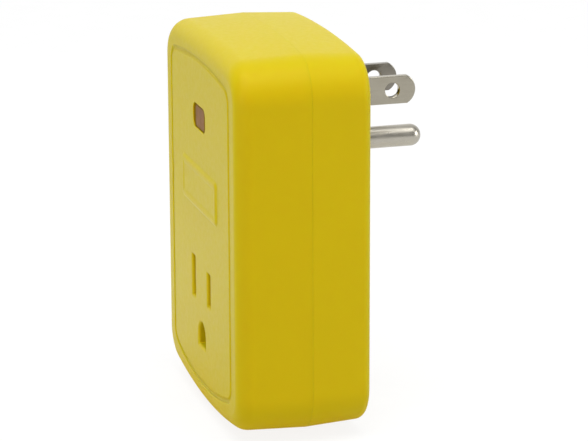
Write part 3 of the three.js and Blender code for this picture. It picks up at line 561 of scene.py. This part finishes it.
def flared_cut(name, outline, depth, flare, face):
    """A cutter of this depth into a flat face, whose mouth flares out by a quarter round."""
    outwards = -1 if face < 0 else 1
    profile = [(-flare, face + outwards * OVERRUN), (-flare, face)]
    for angle in quarter_turn(5):
        drop = flare * (1 - math.cos(angle))
        profile.append((-flare + flare * math.sin(angle), face - outwards * drop))
    profile.append((0.0, face - outwards * depth))
    return loft(name, outline, profile)


# ------------------------------------------------------------------ material nodes


class Graph:
    """A small helper that adds and links shader nodes."""

    def __init__(self, name):
        self.material = bpy.data.materials.new(name)
        self.material.use_nodes = True
        self.nodes = self.material.node_tree.nodes
        self.links = self.material.node_tree.links
        self.shader = self.nodes["Principled BSDF"]
        self.coordinates = self.nodes.new("ShaderNodeTexCoord")

    def add(self, kind, **values):
        """Adds a node and sets its inputs or, where it has no such input, its properties."""
        node = self.nodes.new(kind)
        for key, value in values.items():
            if key in node.inputs:
                node.inputs[key].default_value = value
            else:
                setattr(node, key, value)
        return node

    def link(self, source, target):
        """Links an output to an input."""
        self.links.new(source, target)

    def set(self, **values):
        """Sets shader inputs; an underscore in a name stands for a space."""
        for key, value in values.items():
            self.shader.inputs[key.replace("_", " ")].default_value = value

    def noise(self, scale, detail=4.0, roughness=0.5, stretch=None):
        """Noise in object space; scale is per metre, stretch scales the axes first."""
        source = self.coordinates.outputs["Object"]
        if stretch:
            mapping = self.add("ShaderNodeMapping", Scale=stretch)
            self.link(source, mapping.inputs["Vector"])
            source = mapping.outputs["Vector"]
        texture = self.add("ShaderNodeTexNoise", Scale=scale, Detail=detail, Roughness=roughness)
        self.link(source, texture.inputs["Vector"])
        return texture.outputs["Fac"]

    def remap(self, value, low, high, from_low=0.3, from_high=0.7):
        """Maps a range to low and high; the usual range is the one that noise mostly stays in."""
        node = self.add("ShaderNodeMapRange")
        node.inputs["From Min"].default_value = from_low
        node.inputs["From Max"].default_value = from_high
        node.inputs["To Min"].default_value = low
        node.inputs["To Max"].default_value = high
        self.link(value, node.inputs["Value"])
        return node.outputs["Result"]

    def math(self, operation, first, second=0.0):
        """One sum on two values, each a number or another node's output."""
        node = self.add("ShaderNodeMath", operation=operation)
        self.plug(first, node.inputs[0])
        self.plug(second, node.inputs[1])
        return node.outputs["Value"]

    def plug(self, value, socket):
        """Links the value where it is another node's output, and else sets it."""
        if isinstance(value, bpy.types.NodeSocket):
            self.link(value, socket)
        else:
            socket.default_value = value

    def bump(self, height, strength, distance, normal=None):
        """A normal that follows the height, on top of another normal where one is given."""
        node = self.add("ShaderNodeBump", Strength=strength, Distance=distance)
        self.link(height, node.inputs["Height"])
        if normal is not None:
            self.link(normal, node.inputs["Normal"])
        return node.outputs["Normal"]


def rgb(red, green, blue):
    """An opaque colour."""
    return (red, green, blue, 1.0)


def colour_mix(graph, factor, first, second):
    """The first colour where the factor is 0, and the second where it is 1."""
    node = graph.nodes.new("ShaderNodeMixRGB")
    graph.plug(factor, node.inputs["Fac"])
    graph.plug(first, node.inputs["Color1"])
    graph.plug(second, node.inputs["Color2"])
    return node.outputs["Color"]


def glancing_share(g):
    """0 where the surface is seen square on, rising to 1 where it is seen along itself."""
    angle = g.add("ShaderNodeLayerWeight", Blend=0.5)
    square_on = g.math("SUBTRACT", 1.0, angle.outputs["Facing"])
    return g.math("SUBTRACT", 1.0, g.math("POWER", square_on, GLANCING_POWER))


def moulded_plastic(
    name, colour, shade, roughness, specular=0.5, tint=(1, 1, 1), fine=0.1, glancing_sheen=None, depth=0
):
    """Moulded plastic: faint flow mottle, uneven satin, fine spark texture and a slow surface wave.

    fine is the strength of the spark texture, glancing_sheen a painted sheen: a colour mixed in
    where the surface is seen along itself, and depth how far light spreads under it, in
    millimetres.
    """
    g = Graph(name)
    mottle = g.remap(g.noise(MOTTLE_SCALE, detail=3), 0.0, 1.0)
    pigment = colour_mix(g, mottle, rgb(*colour), rgb(*shade))
    # Painted sheen: the pigment turns to the glancing colour where the surface is seen along itself
    if glancing_sheen:
        pigment = colour_mix(g, glancing_share(g), pigment, rgb(*glancing_sheen))
    g.link(pigment, g.shader.inputs["Base Color"])
    uneven = g.noise(SATIN_SCALE, detail=5, roughness=0.6)
    g.link(g.remap(uneven, roughness - 0.04, roughness + 0.05), g.shader.inputs["Roughness"])
    wavy = g.bump(g.noise(WAVE_SCALE, detail=1), strength=0.02, distance=WAVE_HEIGHT)
    grain = g.bump(g.noise(GRAIN_SCALE, detail=3, roughness=0.65), fine, GRAIN_HEIGHT, wavy)
    g.link(grain, g.shader.inputs["Normal"])
    g.set(IOR=1.5, Specular_IOR_Level=specular, Specular_Tint=rgb(*tint))
    if depth:
        spread = {"Subsurface_Weight": 0.6, "Subsurface_Radius": SPREAD_BY_COLOUR}
        g.set(**spread, Subsurface_Scale=depth * MM)
    return g.material


def plated_metal(name, colour, shade, roughness, stretch, brushed):
    """Plated metal: streaks along the rolling direction, small stains and uneven polish."""
    g = Graph(name)
    streak = g.noise(STREAK_SCALE, detail=4, stretch=stretch)
    stain = g.remap(g.noise(STAIN_SCALE, detail=5), 0.0, 1.0, 0.35, 0.75)
    g.link(colour_mix(g, stain, rgb(*colour), rgb(*shade)), g.shader.inputs["Base Color"])
    g.link(g.remap(streak, roughness - 0.06, roughness + 0.1), g.shader.inputs["Roughness"])
    rolled = g.bump(streak, brushed, STREAK_HEIGHT)
    dents = g.noise(DENT_SCALE, detail=2)
    uneven = g.bump(dents, strength=0.08, distance=DENT_HEIGHT, normal=rolled)
    g.link(uneven, g.shader.inputs["Normal"])
    g.set(Metallic=1.0)
    return g.material


def board_material():
    """Solder mask over copper traces."""
    g = Graph("board_finish")
    trace = g.add("ShaderNodeTexVoronoi", Scale=TRACE_SCALE, feature="DISTANCE_TO_EDGE")
    g.link(g.coordinates.outputs["Object"], trace.inputs["Vector"])
    lines = g.remap(trace.outputs["Distance"], 1.0, 0.0, *TRACE_EDGES)
    green = colour_mix(g, lines, rgb(*SOLDER_MASK), rgb(*MASKED_COPPER))
    g.link(green, g.shader.inputs["Base Color"])
    g.link(g.remap(g.noise(SATIN_SCALE), 0.28, 0.42), g.shader.inputs["Roughness"])
    relief = g.bump(lines, strength=0.2, distance=TRACE_HEIGHT)
    g.link(relief, g.shader.inputs["Normal"])
    return g.material


def resistor_material():
    """Tan lacquer with four painted bands along the body's length."""
    g = Graph("resistor_finish")
    split = g.add("ShaderNodeSeparateXYZ")
    g.link(g.coordinates.outputs["Generated"], split.inputs["Vector"])
    colour = rgb(*RESISTOR_LACQUER)
    for centre, paint in RESISTOR_BANDS:
        compare = g.add("ShaderNodeMath", operation="COMPARE")
        compare.inputs[1].default_value = centre
        compare.inputs[2].default_value = RESISTOR_BAND_HALF
        g.link(split.outputs["X"], compare.inputs[0])
        colour = colour_mix(g, compare.outputs["Value"], colour, rgb(*paint))
    g.link(colour, g.shader.inputs["Base Color"])
    g.link(g.remap(g.noise(1200), 0.3, 0.45), g.shader.inputs["Roughness"])
    return g.material


def distance_inside(g, axes, half, corner, centre):
    """How far a point lies inside a rounded rectangle drawn in two axes, in metres."""
    split = g.add("ShaderNodeSeparateXYZ")
    g.link(g.coordinates.outputs["Object"], split.inputs["Vector"])
    squares = []
    for axis, middle, reach in zip(axes, centre, half):
        from_middle = g.math("ABSOLUTE", g.math("SUBTRACT", split.outputs[axis], middle))
        past = g.math("MAXIMUM", g.math("SUBTRACT", from_middle, reach - corner), 0.0)
        squares.append(g.math("MULTIPLY", past, past))
    return g.math("SUBTRACT", corner, g.math("SQRT", g.math("ADD", *squares)))


def lens_material():
    """Smoked amber plastic over the lamps, with a fine ribbed back and painted shade round its rim,
    where its reflection also fades out.
    """
    g = Graph("lens_finish")
    half = [size * MM for size in LENS_PANE["half"]]
    centre = (LENS_PANE["x"] * MM, WINDOW["z"] * MM)
    inside = distance_inside(g, "XZ", half, LENS_PANE["corner"] * MM, centre)
    soft = LENS_PANE["soft"] * MM
    cloud = g.noise(CLOUD_SCALE, detail=2, stretch=(1.0, 1.0, 0.35))
    smoke = colour_mix(g, g.remap(cloud, 0.0, 1.0, 0.35, 0.65), rgb(*SMOKE), rgb(*SMOKE_LIGHT))
    # Painted shade: towards its edge the smoke turns to the colour of the window's wall in shade
    rim = g.remap(inside, 1.0, 0.0, -soft, soft)
    tint = colour_mix(g, rim, smoke, rgb(*LENS_RIM_PAINTED_SHADE))
    g.link(tint, g.shader.inputs["Base Color"])
    g.link(g.remap(g.noise(800), 0.28, 0.38), g.shader.inputs["Roughness"])
    ribs = g.noise(LENS_RIB_SCALE, detail=1, stretch=(1.0, 1.0, 0.2))
    ribbed = g.bump(ribs, strength=0.12, distance=LENS_RIB_HEIGHT)
    g.link(ribbed, g.shader.inputs["Normal"])
    g.set(IOR=1.42)
    g.link(g.remap(rim, LENS_SPECULAR, 0.0, 0.0, 1.0), g.shader.inputs["Specular IOR Level"])
    return g.material


def floor_material():
    """Pale seamless paper that keeps only a faint shadow where the camera sees it."""
    g = Graph("floor_paper")
    white = rgb(1, 1, 1)
    seen = g.add("ShaderNodeLightPath").outputs["Is Camera Ray"]
    paper = g.remap(g.noise(120, detail=4), FLOOR_TONE - 0.02, FLOOR_TONE)
    shadowless = colour_mix(g, seen, white, rgb(*[(1 - FLOOR_SEEN) / FLOOR_TONE] * 3))
    tone = g.add("ShaderNodeVectorMath", operation="MULTIPLY")
    g.link(paper, tone.inputs[0])
    g.link(shadowless, tone.inputs[1])
    g.link(tone.outputs["Vector"], g.shader.inputs["Base Color"])

    middle_y = cad_box[0].y / 2
    plan = (HALF_WIDTH * MM, -middle_y)
    inside = distance_inside(g, "XY", plan, CORNER_RADIUS * MM, (0.0, middle_y))
    # Painted bounce light: close to the case the glow that the case sees turns yellow and dims
    near = g.remap(inside, 0.0, 1.0, -BOUNCE_REACH, 0.0)
    bounce = g.math("MULTIPLY", near, g.math("SUBTRACT", 1.0, seen))
    g.link(colour_mix(g, bounce, white, rgb(*YELLOW_BOUNCE)), g.shader.inputs["Emission Color"])

    # Painted glow that lights the case: brighter to the left and before it, and dimmer far to the
    # left
    split = g.add("ShaderNodeSeparateXYZ")
    g.link(g.coordinates.outputs["Object"], split.inputs["Vector"])
    left = g.remap(split.outputs["X"], 1.0, 0.0, *GLOW_LEFT_FADE)
    far = g.remap(split.outputs["X"], FLOOR_GLOW_FAR, 1.0, *GLOW_FAR_FADE)
    before = g.remap(split.outputs["Y"], 1.0, 0.0, *GLOW_BEFORE_FADE)
    share = g.math("MULTIPLY", g.math("MULTIPLY", left, far), before)
    glow = g.remap(share, FLOOR_GLOW_RIGHT, FLOOR_GLOW_LEFT, 0.0, 1.0)
    strength = g.add("ShaderNodeMapRange")
    g.link(seen, strength.inputs["Value"])
    g.link(glow, strength.inputs["To Min"])
    strength.inputs["To Max"].default_value = FLOOR_SEEN
    g.link(strength.outputs["Result"], g.shader.inputs["Emission Strength"])

    g.set(Roughness=0.9, Specular_IOR_Level=0.0)
    fibres = g.bump(g.noise(FIBRE_SCALE, detail=5), strength=0.05, distance=FIBRE_HEIGHT)
    g.link(fibres, g.shader.inputs["Normal"])
    return g.material


# ------------------------------------------------------------------ case


def groove_cutter():
    """The round-bottomed groove that frames the front panel."""
    centre = half = GROOVE_HALF
    flare = GROOVE_FLARE
    face = -FACE
    near = centre - half - flare
    far = centre + half + flare
    belly = half * GROOVE_BELLY
    floor = face + GROOVE_DEPTH - belly
    mouth = [
        (flare * math.sin(a), face + flare * (1 - math.cos(a))) for a in quarter_turn(4, start=0)
    ]
    section = [(near, face - OVERLAP)] + [(near + across, y) for across, y in mouth]
    for i in range(9):
        angle = math.pi * i / 8
        section.append((centre - half * math.cos(angle), floor + belly * math.sin(angle)))
    section += [(far - across, y) for across, y in reversed(mouth[:-1])]
    section.append((far, face - OVERLAP))
    return loft("groove_cutter", lambda inset: arched_outline(PANEL, inset), section, closed=True)


def plate_pad():
    """The blank raised plate: soft sloping sides, a plain rim and a sunk field."""
    face = -FACE
    crown = face - PLATE_PROUD
    foot, top = PLATE_SLOPE
    outline = box_outline(PLATE["width"], PLATE["height"], PLATE["corner"], (0, PLATE["z"]), 8)
    profile = [(foot, face + OVERLAP)]
    for share, rise in eased(8):
        profile.append((foot + (top - foot) * share, face - PLATE_PROUD * rise))
    for share, drop in eased(6):
        profile.append((PLATE_RIM + PLATE_FIELD_SLOPE * share, crown + PLATE_SINK * drop))
    return loft("plate_pad", outline, profile)


def slot_outline(x, height):
    """A slot of the receptacle as a function of its inset."""
    return box_outline(SLOT_WIDTH, height, SLOT_CORNER, (x, OUTLET_Z), steps=4)


def case_outline(inset, widening=0.0):
    """The case outline, with its upright sides moved out by the widening."""
    stretch = 1 + widening / (HALF_WIDTH - inset)
    return [(x * stretch, z) for x, z in arched_outline(CASE, inset)]


def middle_of(node):
    """Centre of a node in X and Z."""
    low, high = box_mm(node)
    return ((low.x + high.x) / 2, (low.z + high.z) / 2)


def bar(radius, centre, back, front):
    """A round bar along Y between two depths in front of the rear face."""
    return loft("bar", round_outline(radius, centre, BAR_STEPS), [(0, -back), (0, -front)])


def locating_rib(node, back, front):
    """A low wall round the plan of a seated piece."""
    low, high = box_mm(node)
    inside = -RIB["gap"]
    outside = inside - RIB["thickness"]
    plan = box_outline(high.x - low.x, high.z - low.z, RIB["corner"], middle_of(node))
    profile = [(outside, -back), (inside, -back), (inside, -front), (outside, -front)]
    return loft("locating_rib", plan, profile, closed=True)


def cover_rib(x):
    """A rib of the rear shell that presses on the contact cover."""
    low, high = box_mm("contact_cover")
    height = high.z - low.z - 2 * COVER_RIB["short_by"]
    centre = (x, (low.z + high.z) / 2)
    plan = box_outline(2 * COVER_RIB["half"], height, COVER_RIB["corner"], centre, steps=2)
    return loft("cover_rib", plan, [(0, -WALL / 2), (0, -COVER_RIB["front"])])


def posts(names, sizes, root):
    """Posts from their ends to the root under the named screws, and cutters for their pilots."""
    radius, end, pilot, pilot_end = sizes
    past = math.copysign(OVERRUN, end - root)
    solids = [bar(radius, middle_of(name), end, root) for name in names]
    pilots = [bar(pilot, middle_of(name), end + past, pilot_end) for name in names]
    return solids, pilots


def front_shell(material):
    """The front half of the case, with its panel, plate, window, receptacle and inner posts."""
    seam = -(SEAM + SEAM_GAP / 2)
    inner_face = -(FACE - WALL)
    root = FACE - WALL / 2
    outer = side_profile(-FACE, seam, FRONT_DRAFT, FRONT_FILLET, 0.0, 18, FRONT_SIDE_REACH)[:-1]
    inner = side_profile(inner_face, seam, FRONT_DRAFT, FRONT_FILLET - WALL, WALL, 4)
    profile = outer + seam_edge(seam, -1, WALL) + list(reversed(inner))
    shell = loft("front_case", case_outline, profile)
    case_posts, case_pilots = posts(SCREWS, CASE_POST, root)
    board_posts, board_pilots = posts(["board_screw_1", "board_screw_2"], BOARD_POST, root)
    housing_front = -box_mm("contact_housing")[0].y
    rib = locating_rib("contact_housing", housing_front - RIB["housing_grip"], root)
    boolean(shell, [plate_pad(), rib, *case_posts, *board_posts], "UNION")
    window = box_outline(WINDOW["width"], WINDOW["height"], WINDOW["corner"], (0, WINDOW["z"]))
    openings = [
        ("window_cutter", window, WINDOW_ROUND),
        ("line_slot_cutter", slot_outline(PRONG_X, LINE_SLOT), LEAD_IN),
        ("neutral_slot_cutter", slot_outline(-PRONG_X, NEUTRAL_SLOT), LEAD_IN),
        ("ground_cutter", ground_outline, LEAD_IN),
    ]
    cutters = [*case_pilots, *board_pilots, groove_cutter()]
    for name, outline, flare in openings:
        cutters.append(flared_cut(name, outline, THROUGH, flare, -FACE))
    boolean(shell, cutters, "DIFFERENCE")
    finish_mesh(shell)
    return attach(shell, material, "case", "front_shell")


def rear_shell(material):
    """The rear half of the case, with its lip, plug openings, screw wells and inner ribs."""
    seam = -(SEAM - SEAM_GAP / 2)
    root = WALL / 2
    lip = [(LIP_OUTSIDE, seam), (LIP_OUTSIDE, seam - LIP_LENGTH)]
    lip += [(LIP_INSIDE, seam - LIP_LENGTH), (LIP_INSIDE, seam + LIP_LENGTH)]
    outer = side_profile(0.0, seam, REAR_DRAFT, REAR_FILLET, 0.0, 10)[:-1]
    inner_end = seam + REAR_INNER_SHORT
    inner = side_profile(-WALL, inner_end, REAR_DRAFT, REAR_INNER_FILLET, REAR_SIDE_WALL, 3)
    profile = outer + seam_edge(seam, 1, LIP_OUTSIDE)[:-1] + lip + list(reversed(inner))
    shell = loft("rear_case", case_outline, profile)
    clamp_posts, clamp_pilots = posts(["clamp_screw_1", "clamp_screw_2"], CLAMP_POST, root)
    holder_front = -box_mm("blade_holder")[0].y
    ribs = [locating_rib("blade_holder", root, holder_front - RIB["gap"])]
    ribs += [cover_rib(side * COVER_RIB["x"]) for side in (-1, 1)]
    towers = [bar(TOWER_RADIUS, middle_of(name), root, TOWER_FRONT) for name in SCREWS]
    boolean(shell, ribs + towers + clamp_posts, "UNION")
    cutters = clamp_pilots
    for name in SCREWS:
        well = round_outline(WELL_RADIUS, middle_of(name))
        cutters.append(flared_cut("well", well, WELL_DEPTH, WELL_ROUND, 0.0))
        cutters.append(bar(PASSAGE, middle_of(name), PASSAGE_BACK, TOWER_FRONT + OVERRUN))
    width = BLADE_THICKNESS + 2 * PRONG_GAP
    height = 2 * BLADE_HALF + 2 * PRONG_GAP
    for x in (-PRONG_X, PRONG_X):
        opening = box_outline(width, height, OPENING_CORNER, (x, 0), steps=4)
        cutters.append(flared_cut("blade_opening", opening, THROUGH, OPENING_ROUND, 0.0))
    hole = round_outline(PIN_RADIUS + PRONG_GAP, (0, -GROUND_DROP))
    cutters.append(flared_cut("pin_opening", hole, THROUGH, OPENING_ROUND, 0.0))
    boolean(shell, cutters, "DIFFERENCE")
    finish_mesh(shell)
    return attach(shell, material, "case", "rear_shell")


# ------------------------------------------------------------------ plug


def rounded_sheet(name, outline, holes, thickness, edge):
    """A flat sheet in local X and Y with rounded edges, made from filled splines."""
    curve = bpy.data.curves.new(name, "CURVE")
    curve.dimensions = "2D"
    curve.fill_mode = "BOTH"
    curve.extrude = thickness / 2 - edge
    curve.bevel_depth = edge
    curve.bevel_resolution = 3
    curve.offset = -edge
    for ring in [outline] + holes:
        spline = curve.splines.new("POLY")
        spline.points.add(len(ring) - 1)
        spline.use_cyclic_u = True
        for point, (a, b) in zip(spline.points, ring):
            point.co = (a, b, 0, 1)
    carrier = new_object(name, curve)
    graph = bpy.context.evaluated_depsgraph_get()
    mesh = bpy.data.meshes.new_from_object(carrier.evaluated_get(graph))
    bpy.data.objects.remove(carrier)
    return new_object(name, mesh)


def blade(side, name, node, material):
    """A flat blade with a round-nosed tip and a drilled hole, standing across X."""
    radius = (BLADE_HALF**2 + BLADE_SAGITTA**2) / (2 * BLADE_SAGITTA)
    spread = math.asin(BLADE_HALF / radius)
    outline = arc(BLADE_TIP - radius, 0, radius, -spread, spread, 28)
    outline.append((BLADE_TIP - BLADE_SAGITTA, BLADE_HALF))
    outline += [(BLADE_ROOT, BLADE_HALF), (BLADE_ROOT, -BLADE_HALF)]
    hole = circle(BLADE_HOLE_RADIUS, (BLADE_HOLE_Y, 0), 40)
    sheet = rounded_sheet(name, outline, [hole], BLADE_THICKNESS, BLADE_EDGE)
    turn = Matrix(((0, 0, 1, side * PRONG_X), (1, 0, 0, 0), (0, 1, 0, 0), (0, 0, 0, 1)))
    sheet.data.transform(turn)
    finish_mesh(sheet, sharp_angle=50)
    return attach(sheet, material, "nickel", node)


def ground_pin(material):
    """The round pin with a blunt, fully rounded nose."""
    nose_start = PIN_TIP - PIN_NOSE
    profile = [(0, PIN_LOW.y), (PIN_RADIUS, PIN_LOW.y), (PIN_RADIUS, 0), (PIN_RADIUS, nose_start)]
    for angle in quarter_turn(16)[:-1]:
        profile.append((PIN_RADIUS * math.cos(angle), PIN_TIP - PIN_NOSE * (1 - math.sin(angle))))
    profile.append((0, PIN_TIP))
    pin = lathe("grounding_pin", profile)
    pin.data.transform(Matrix.Translation((0, 0, -GROUND_DROP)))
    finish_mesh(pin, sharp_angle=60)
    return attach(pin, material, "nickel", "ground_pin")


# ------------------------------------------------------------------ lens and screws


def lens(material):
    """A nearly flat lens with a rim that falls back all round, filling the window."""
    front = LENS_LOW.y
    width = WINDOW["width"] - 2 * LENS_GAP
    height = WINDOW["height"] - 2 * LENS_GAP
    outline = box_outline(width, height, WINDOW["corner"] - LENS_GAP, (0, WINDOW["z"]))
    profile = [(0, LENS_HIGH.y), (0, front + LENS_FALL)]
    for angle in quarter_turn(5):
        profile.append((LENS_RIM * math.sin(angle), front + LENS_FALL * math.cos(angle)))
    cap = loft("indicator_window", outline, profile)
    finish_mesh(cap, sharp_angle=50)
    return attach(cap, material, "lens", "indicator_lens")


def screw(name, material):
    """A pan head with a cross recess on a plain shank, in its well."""
    low, high = box_mm(name)
    head_radius = SCREW_HEAD_RADIUS
    seat = high.y - SCREW_HEAD_HEIGHT
    rim = seat + SCREW_RIM
    profile = [(0, low.y), (SCREW_TIP["radius"], low.y), (SCREW_SHANK, low.y + SCREW_TIP["length"])]
    profile += [(SCREW_SHANK, seat), (head_radius - SCREW_CHAMFER, seat)]
    profile += [(head_radius, seat + SCREW_CHAMFER), (head_radius, rim)]
    crown = SCREW_HEAD_HEIGHT - SCREW_RIM
    for angle in quarter_turn(8)[:-1]:
        radius = head_radius * math.cos(angle) ** SCREW_CROWN
        profile.append((radius, rim + crown * math.sin(angle)))
    profile.append((0, rim + crown))
    head = lathe(name + "_fine", profile, 40)
    centre = middle_of(name)
    head.data.transform(Matrix.Translation((centre[0], 0, centre[1])))
    ends = [(-RECESS["flare"], high.y + OVERRUN), (RECESS["taper"], seat + RECESS["floor"])]
    cutters = []
    for size in (RECESS["size"], reversed(RECESS["size"])):
        cutters.append(loft("recess", box_outline(*size, RECESS["corner"], centre, steps=3), ends))
    boolean(head, cutters, "DIFFERENCE")
    finish_mesh(head, sharp_angle=40)
    return attach(head, material, "screw", name)


# ------------------------------------------------------------------ inner pieces


def dress_inner_pieces(materials):
    """CAD pieces that stay as they are, with a soft edge and a fitting material."""
    replaced = {"front_shell", "rear_shell", "line_blade", "neutral_blade", "ground_pin"}
    replaced |= {"indicator_lens", *SCREWS}
    slots = {row["node"]: row["material_slot"] for row in frame["record"]["subparts"]}
    for node, piece in frame["nodes"].items():
        if node in replaced:
            continue
        piece.data.materials.clear()
        piece.data.materials.append(materials[slots[node]])
        edge = piece.modifiers.new("soft_edge", "BEVEL")
        edge.width = SOFT_EDGE * MM
        edge.segments = 2
        edge.limit_method = "ANGLE"
        edge.angle_limit = math.radians(40)


# ------------------------------------------------------------------ stage


def add_floor():
    """A wide square of paper just under the case."""
    mesh = bpy.data.meshes.new("floor")
    half = FLOOR_HALF
    z = cad_box[0].z - FLOOR_GAP
    corners = [(-half, -half, z), (half, -half, z), (half, half, z), (-half, half, z)]
    mesh.from_pydata(corners, [], [(0, 1, 2, 3)])
    floor = new_object("floor", mesh)
    mesh.materials.append(floor_material())


def add_world():
    """A tent that brightens to the left, and that the camera sees as even."""
    world = bpy.data.worlds.new("studio")
    bpy.context.scene.world = world
    world.use_nodes = True
    nodes, links = world.node_tree.nodes, world.node_tree.links
    direction = nodes.new("ShaderNodeTexCoord")
    split = nodes.new("ShaderNodeSeparateXYZ")
    links.new(direction.outputs["Generated"], split.inputs["Vector"])
    tent = nodes.new("ShaderNodeMapRange")
    tent.inputs["From Min"].default_value = 0.0
    tent.inputs["From Max"].default_value = -1.0
    tent.inputs["To Min"].default_value = TENT_DARK
    tent.inputs["To Max"].default_value = TENT_BRIGHT
    links.new(split.outputs["X"], tent.inputs["Value"])
    path = nodes.new("ShaderNodeLightPath")
    level = nodes.new("ShaderNodeMapRange")
    level.inputs["To Max"].default_value = WORLD_SEEN
    links.new(tent.outputs["Result"], level.inputs["To Min"])
    links.new(path.outputs["Is Camera Ray"], level.inputs["Value"])
    background = nodes["Background"]
    background.inputs["Color"].default_value = rgb(1, 1, 1)
    links.new(level.outputs["Result"], background.inputs["Strength"])


def add_lights():
    """Round soft boxes that point at the middle of the case and that the camera doesn't see."""
    for name, (direction, distance, size, power) in LIGHTS.items():
        data = bpy.data.lights.new(name, "AREA")
        data.shape = "DISK"
        data.size = size
        data.energy = power
        light = new_object(name, data)
        towards = Vector(direction).normalized()
        light.location = (cad_box[0] + cad_box[1]) / 2 + towards * distance
        light.rotation_mode = "QUATERNION"
        light.rotation_quaternion = towards.to_track_quat("Z", "Y")
        light.visible_camera = False


def add_camera():
    """A camera on a 36 mm frame, turned from straight ahead by the azimuth and the elevation."""
    data = bpy.data.cameras.new("camera")
    data.lens = LENS
    data.sensor_width = 36
    data.clip_start = 0.01
    camera = new_object("camera", data)
    cos_e = math.cos(ELEVATION)
    back = Vector((math.sin(AZIMUTH) * cos_e, -math.cos(AZIMUTH) * cos_e, math.sin(ELEVATION)))
    camera.location = AIM + back * DISTANCE
    camera.rotation_mode = "QUATERNION"
    upright = (-back).to_track_quat("-Z", "Y")
    camera.rotation_quaternion = upright @ Quaternion((0, 0, 1), -ROLL)
    bpy.context.scene.camera = camera


def set_colour():
    """The plain view, so that colours come out as they are given."""
    settings = bpy.context.scene.view_settings
    settings.view_transform = "Standard"
    settings.look = "None"


# ------------------------------------------------------------------ build

case_plastic = moulded_plastic(
    "case_plastic",
    YELLOW,
    YELLOW_SHADE,
    roughness=0.45,
    specular=0.25,
    tint=YELLOW_SHEEN,
    fine=0.03,
    glancing_sheen=YELLOW_GLANCING_SHEEN,
    depth=1.0,
)
metals = {name: plated_metal(name, *values) for name, values in METALS.items()}
inner_materials = {slot: moulded_plastic(*values) for slot, values in PLASTICS.items()}
inner_materials["brass"] = metals["brass_strip"]
inner_materials["screw"] = metals["zinc_plate"]
inner_materials["board"] = board_material()
inner_materials["resistor"] = resistor_material()

front_shell(case_plastic)
rear_shell(case_plastic)
blade(1, "line_prong", "line_blade", metals["nickel_plate"])
# The neutral prong, the farther one from the camera, gets the darker nickel as painted shade
blade(-1, "neutral_prong", "neutral_blade", metals["nickel_in_painted_shade"])
ground_pin(metals["pin_plate"])
lens(lens_material())
for screw_name in SCREWS:
    screw(screw_name, metals["zinc_plate"])
dress_inner_pieces(inner_materials)

add_floor()
add_world()
add_lights()
add_camera()
set_colour()
